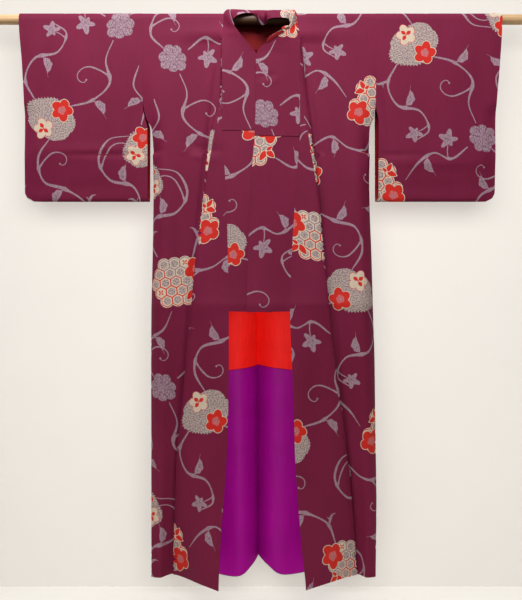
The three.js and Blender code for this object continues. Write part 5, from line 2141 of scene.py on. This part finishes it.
@dataclass
class BodySide:
    """One side of the body: the strip over the shoulder, the overlap panel and the linings."""

    side: Side
    pattern: Pattern
    strip_start: float
    strip_flip: bool
    overlap_start: float
    overlap_flip: bool
    overlap_across: float

    def build(self, look: Look) -> list[bpy.types.Object]:
        """Make the four pieces of this side, and give back the linings."""
        name, strip = self.side.value, BODY[self.side].strip()
        edge = strip.outline()
        middle = np.interp(edge[:, 1], strip.v, strip.u[:, -1])
        edge[:, 0] += 0.3 * (edge[:, 0] > middle - 0.1) * (edge[:, 1] > OVER_ROD + 30)
        figures = self.pattern.cut(edge, self.strip_start, self.strip_flip)
        body = Panel(f"body_{name}_silk", strip, edge=edge, figures=figures, coarse=(2, 2),
                     purple_from=OVER_ROD - SIZES.lining_change_centre).build(look.silk)
        declare(body, f"body_{name}")
        inset, seam = SIZES.stitch_inset, OVER_ROD - SIZES.armhole_z
        rows = [
            beside_edge(strip, 0, inset, -math.inf, -seam),
            beside_edge(strip, 0, inset, seam, math.inf),
            beside_edge(strip, -1, -inset, -math.inf, -OVER_ROD - 420),
            beside_edge(strip, -1, -inset, OVER_ROD + 60, math.inf),
        ]
        stitches = Stitching(f"body_{name}_stitches", strip, rows).build(look.thread)
        panel = BODY[self.side].overlap()
        start, flip, across = self.overlap_start, self.overlap_flip, self.overlap_across
        figures = self.pattern.cut(panel.outline(), start, flip, across)
        overlap = Panel(
            f"overlap_{name}_silk", panel, figures=figures, reverse=Yarn.PURPLE_LINING, coarse=(2, 2)
        ).build(look.silk)
        declare(overlap, f"overlap_{name}")
        return self.linings(strip, look, body.name)

    def linings(self, strip: Cloth, look: Look, carrier: str) -> list[bpy.types.Object]:
        """Make the linings inside the back, which meet in a slanting line."""
        made = []
        name = self.side.value
        inner = -(SIZES.cloth / 2 + SIZES.layer_gap)
        columns = thinned(strip.u.shape[1], 2)[2:]
        rows = {
            "top": OVER_ROD + SIZES.linings_from_rod,
            "hem": OVER_ROD - SIZES.hem_z - SIZES.hem_lining_short,
        }

        def across(run: float) -> Array:
            """Give u at every column of a level."""
            u = np.stack([np.interp(run, strip.v, strip.u[:, j]) for j in columns])
            u[-1] += SIZES.seam_overlap
            return u

        top, hem = across(rows["top"]), across(rows["hem"])
        line = across(OVER_ROD - SIZES.lining_change_centre)
        share = 1 - np.linspace(0, 1, len(columns))
        drop = np.minimum(1, 1.8 * share) * (SIZES.lining_change_centre - SIZES.lining_change_side)
        meet = OVER_ROD - SIZES.lining_change_centre + drop
        for part, tone, edge, bottom in (
            ("back_lining", look.red, (top, np.full(len(top), rows["top"])), (line, meet - 0.6)),
            ("hem_lining", look.purple, (line, meet + 0.6), (hem, np.full(len(hem), rows["hem"]))),
        ):
            first = [*zip(*edge)]
            last = [*zip(*bottom)]
            inside_edge = self.rise(strip, columns[-1], first[-1][1], last[-1][1], SIZES.seam_overlap)
            outside_edge = self.rise(strip, columns[0], first[0][1], last[0][1], 0.0)
            outline = np.array(first + inside_edge + last[::-1] + outside_edge[::-1])
            yarn = Yarn.RED_LINING if part == "back_lining" else Yarn.PURPLE_LINING
            dyed = {"reverse": yarn, "rim": yarn, "ground": yarn}
            panel = Panel(f"{part}_{name}_silk", strip, inner, inner - SIZES.lining, outline, **dyed)
            piece = panel.build(tone)
            declare(piece, f"{part}_{name}")
            width, length = (0.34, 0.9) if part == "back_lining" else (0.34, 0.57)
            made.append(piece)
        return made

    @staticmethod
    def rise(strip: Cloth, column: int, low: float, high: float, beyond: float) -> list[tuple[float, float]]:
        """Give the places along one column between two levels, or a little beyond it."""
        runs = [v for v in strip.v[::2] if low + 3 < v < high - 3]
        return [(float(np.interp(v, strip.v, strip.u[:, column])) + beyond, float(v)) for v in runs]


@dataclass
class CollarBand:
    """The collar and the over-collar on its middle."""

    pattern: Pattern

    def build(self, look: Look) -> None:
        """Make both bands."""
        ends = {side: SIZES.collar_end_z for side in Side}
        cloth = CollarForm().band(ends)
        figures = self.pattern.cut(cloth.outline(), 250.0, False, 120.0)
        collar = Panel("collar_silk", cloth, figures=figures, fine=(1, 1), coarse=(2, 2)).build(look.silk)
        declare(collar, "collar")
        length = float(cloth.v[-1]) * MM
        over = CollarForm().band(SIZES.over_collar_end)
        over.u[:, 0] += SIZES.over_collar_inset
        over.points[:, 0] = mix(over.points[:, 0], over.points[:, 1], SIZES.over_collar_inset / 6)
        figures = self.pattern.cut(over.outline(), 212.0, False, 195.0)
        low = SIZES.cloth / 2 + SIZES.layer_gap
        second = Panel(
            "over_collar_silk",
            over,
            low + SIZES.lining,
            low,
            figures=figures,
            reverse=Yarn.RED,
            fine=(1, 1),
            coarse=(1, 1),
        ).build(look.silk)
        declare(second, "over_collar")
        length = float(over.v[-1])
        rows, from_end, from_side, places = [], 4.0, 3, 40
        for run in (from_end, length - from_end):
            first, last = (np.interp(run, over.v, over.u[:, j]) for j in (0, -1))
            across = np.linspace(first + from_side, last - from_side, places)
            rows.append(np.array([(x, run) for x in across]))
        lift = low + SIZES.lining + SIZES.thread_stands_off
        stitches = Stitching("over_collar_stitches", over, rows, lift).build(look.thread)


@dataclass
class Sleeve:
    """One sleeve and the lining strip that shows at its open inner edge."""

    side: Side
    pattern: Pattern
    start: float
    flip: bool

    def build(self, look: Look) -> None:
        """Make the sleeve and its lining strip."""
        name, cloth = self.side.value, SleeveForm(self.side).strip()
        figures = self.pattern.cut(cloth.outline(), self.start, self.flip)
        sleeve = Panel(f"sleeve_{name}_silk", cloth, figures=figures).build(look.silk)
        declare(sleeve, f"sleeve_{name}")
        seam = OVER_ROD - SIZES.armhole_z
        row = beside_edge(cloth, 0, SIZES.stitch_inset, -seam, seam)
        stitches = Stitching(f"sleeve_{name}_stitches", cloth, [row]).build(look.thread)
        inner = -(SIZES.cloth / 2 + SIZES.layer_gap)
        upper, lower = OVER_ROD - SIZES.armhole_z, OVER_ROD + SIZES.sleeve_lining_end
        runs = [v for v in cloth.v if upper < v < lower][::2]
        inside_edge = [(float(np.interp(v, cloth.v, cloth.u[:, 0])) + 0.3, v) for v in runs]
        far_edge = [(u + SIZES.sleeve_lining_width, v) for u, v in inside_edge]
        strip = Panel(
            f"sleeve_lining_{name}_silk",
            cloth,
            inner,
            inner - SIZES.lining,
            np.array(inside_edge + far_edge[::-1]),
            rim=Yarn.RED_LINING,
            ground=Yarn.RED_LINING,
            fine=(2, 1),
            coarse=(2, 2),
        )
        # The strip takes the darker red lining, painted shade for its place inside the sleeve.
        piece = strip.build(look.shaded_red)
        declare(piece, f"sleeve_lining_{name}")


@dataclass
class Studio:
    """The plain wall and floor, the soft lights and the camera."""

    wall_y: float = 0.118
    floor_z: float = -1.572
    eye: Place = (0.0027, -2.2, -0.757)
    lens: float = 56.19
    wall_tone: tuple = colour(180, 176, 170)
    floor_tone: tuple = colour(228, 225, 219)
    lining_light: bpy.types.Object | None = None
    not_for_key: bpy.types.Collection | None = None

    def build(self) -> None:
        """Set everything up."""
        bpy.context.scene.view_settings.view_transform = "Standard"
        low, high, side, back, front = self.floor_z, 2.4, 4.0, self.wall_y, -0.9
        wall = [(-side, back, low), (side, back, low), (side, back, high), (-side, back, high)]
        floor = [(-side, front, low), (side, front, low), (side, back, low), (-side, back, low)]
        backdrop = [
            self.plane("studio_wall", wall, self.wall_tone),
            self.plane("studio_floor", floor, self.floor_tone),
        ]
        key = self.light("key", (-0.3, -1.35, 1.3), (0.0, 0.0, -0.3), (1.2, 0.7), 75.0)
        self.light("fill", (0.5, -2.8, -0.1), (0.0, 0.0, -0.5), (1.4, 1.0), 6.6)
        place, aim, size = (0.0, -2.6, 0.1), (0.0, 0.1, -0.75), (3.0, 1.6)
        soft = self.light("backdrop_soft", place, aim, size, 62.0)
        even = self.light("backdrop_even", place, aim, size, 117.0)
        only = bpy.data.collections.new("backdrop_only")
        for piece in backdrop:
            only.objects.link(piece)
        self.not_for_key = bpy.data.collections.new("not_for_key")
        self.keep_from_key(backdrop)
        soft.light_linking.receiver_collection = only
        even.light_linking.receiver_collection = only
        even.light_linking.blocker_collection = only
        key.light_linking.receiver_collection = self.not_for_key
        self.lining_light = self.light("lining_light", (0.0, -2.7, -1.0), (0.0, 0.0, -1.0), (0.9, 0.7), 44.0)
        world = bpy.data.worlds.new("studio_air")
        world.use_nodes = True
        world.node_tree.nodes["Background"].inputs["Color"].default_value = (1.0, 0.98, 0.96, 1.0)
        world.node_tree.nodes["Background"].inputs["Strength"].default_value = 0.1
        bpy.context.scene.world = world
        camera = in_scene("camera", bpy.data.cameras.new("camera"))
        camera.data.lens, camera.data.sensor_width, camera.data.sensor_fit = self.lens, 36.0, "HORIZONTAL"
        camera.location, camera.rotation_euler = self.eye, Euler((math.pi / 2, 0.0, 0.0))
        bpy.context.scene.camera = camera

    def light_inside(self, pieces: list[bpy.types.Object]) -> None:
        """Give the linings a light of their own, which the fronts don't shadow, in place of the key."""
        only = bpy.data.collections.new("linings_only")
        for piece in pieces:
            only.objects.link(piece)
        self.lining_light.light_linking.receiver_collection = only
        self.lining_light.light_linking.blocker_collection = only
        self.keep_from_key(pieces)

    def keep_from_key(self, pieces: list[bpy.types.Object]) -> None:
        """Shut pieces out of the key light."""
        for piece in pieces:
            self.not_for_key.objects.link(piece)
        for entry in self.not_for_key.collection_objects:
            entry.light_linking.link_state = "EXCLUDE"

    def plane(self, name: str, corners: list[Place], tone: tuple) -> bpy.types.Object:
        """Lay a flat backdrop and give it back."""
        data = bpy.data.meshes.new(name)
        data.from_pydata(corners, [], [(0, 1, 2, 3)])
        data.materials.append(StudioPaint(name + "_paint", tone).material())
        piece = in_scene(name, data)
        return piece

    def light(
        self, name: str, place: Place, aim: Place, size: tuple[float, float], power: float
    ) -> bpy.types.Object:
        """Hang a soft light.

        Args:
            name: Its name.
            place: Where it hangs.
            aim: The place it faces.
            size: Its width and height.
            power: Its strength in watts.

        Returns:
            The light's object.
        """
        lamp = bpy.data.lights.new(name, "AREA")
        lamp.shape, lamp.size, lamp.size_y, lamp.energy = "RECTANGLE", *size, power
        piece = in_scene(name, lamp)
        piece.location = place
        piece.rotation_euler = (Vector(aim) - Vector(place)).to_track_quat("-Z", "Y").to_euler()
        return piece


def main() -> None:
    """Build the kimono on its rod, and the studio round it."""
    studio = Studio()
    studio.build()
    look = Look(
        silk=WovenSilk().material(),
        red=LiningSilk("lining_silk_red", colour(246, 34, 26), colour(226, 22, 20)).material(),
        purple=LiningSilk("lining_silk_purple", colour(150, 5, 128), colour(134, 4, 112)).material(),
        wood=PaleWood().material(),
        # Painted shade: a darker copy of the red lining silk for the sleeves' lining strips, which lie in
        # shade inside the sleeves.
        shaded_red=LiningSilk("lining_silk_deep_red", colour(226, 30, 44), colour(200, 22, 36)).material(),
        thread=Thread("plum_thread", colour(120, 44, 74), colour(80, 24, 48)).material(),
    )
    pattern = Pattern()
    Rod().build(look)
    left = BodySide(Side.LEFT, pattern, 300.0, False, 160.0, True, 90.0).build(look)
    right = BodySide(Side.RIGHT, pattern, 40.0, True, 620.0, False, 20.0).build(look)
    studio.light_inside([*left, *right])
    Sleeve(Side.LEFT, pattern, 520.0, False).build(look)
    Sleeve(Side.RIGHT, pattern, 130.0, True).build(look)
    CollarBand(pattern).build(look)


if __name__ == "__main__":
    logging.basicConfig(level=logging.INFO, format="%(message)s")
    main()
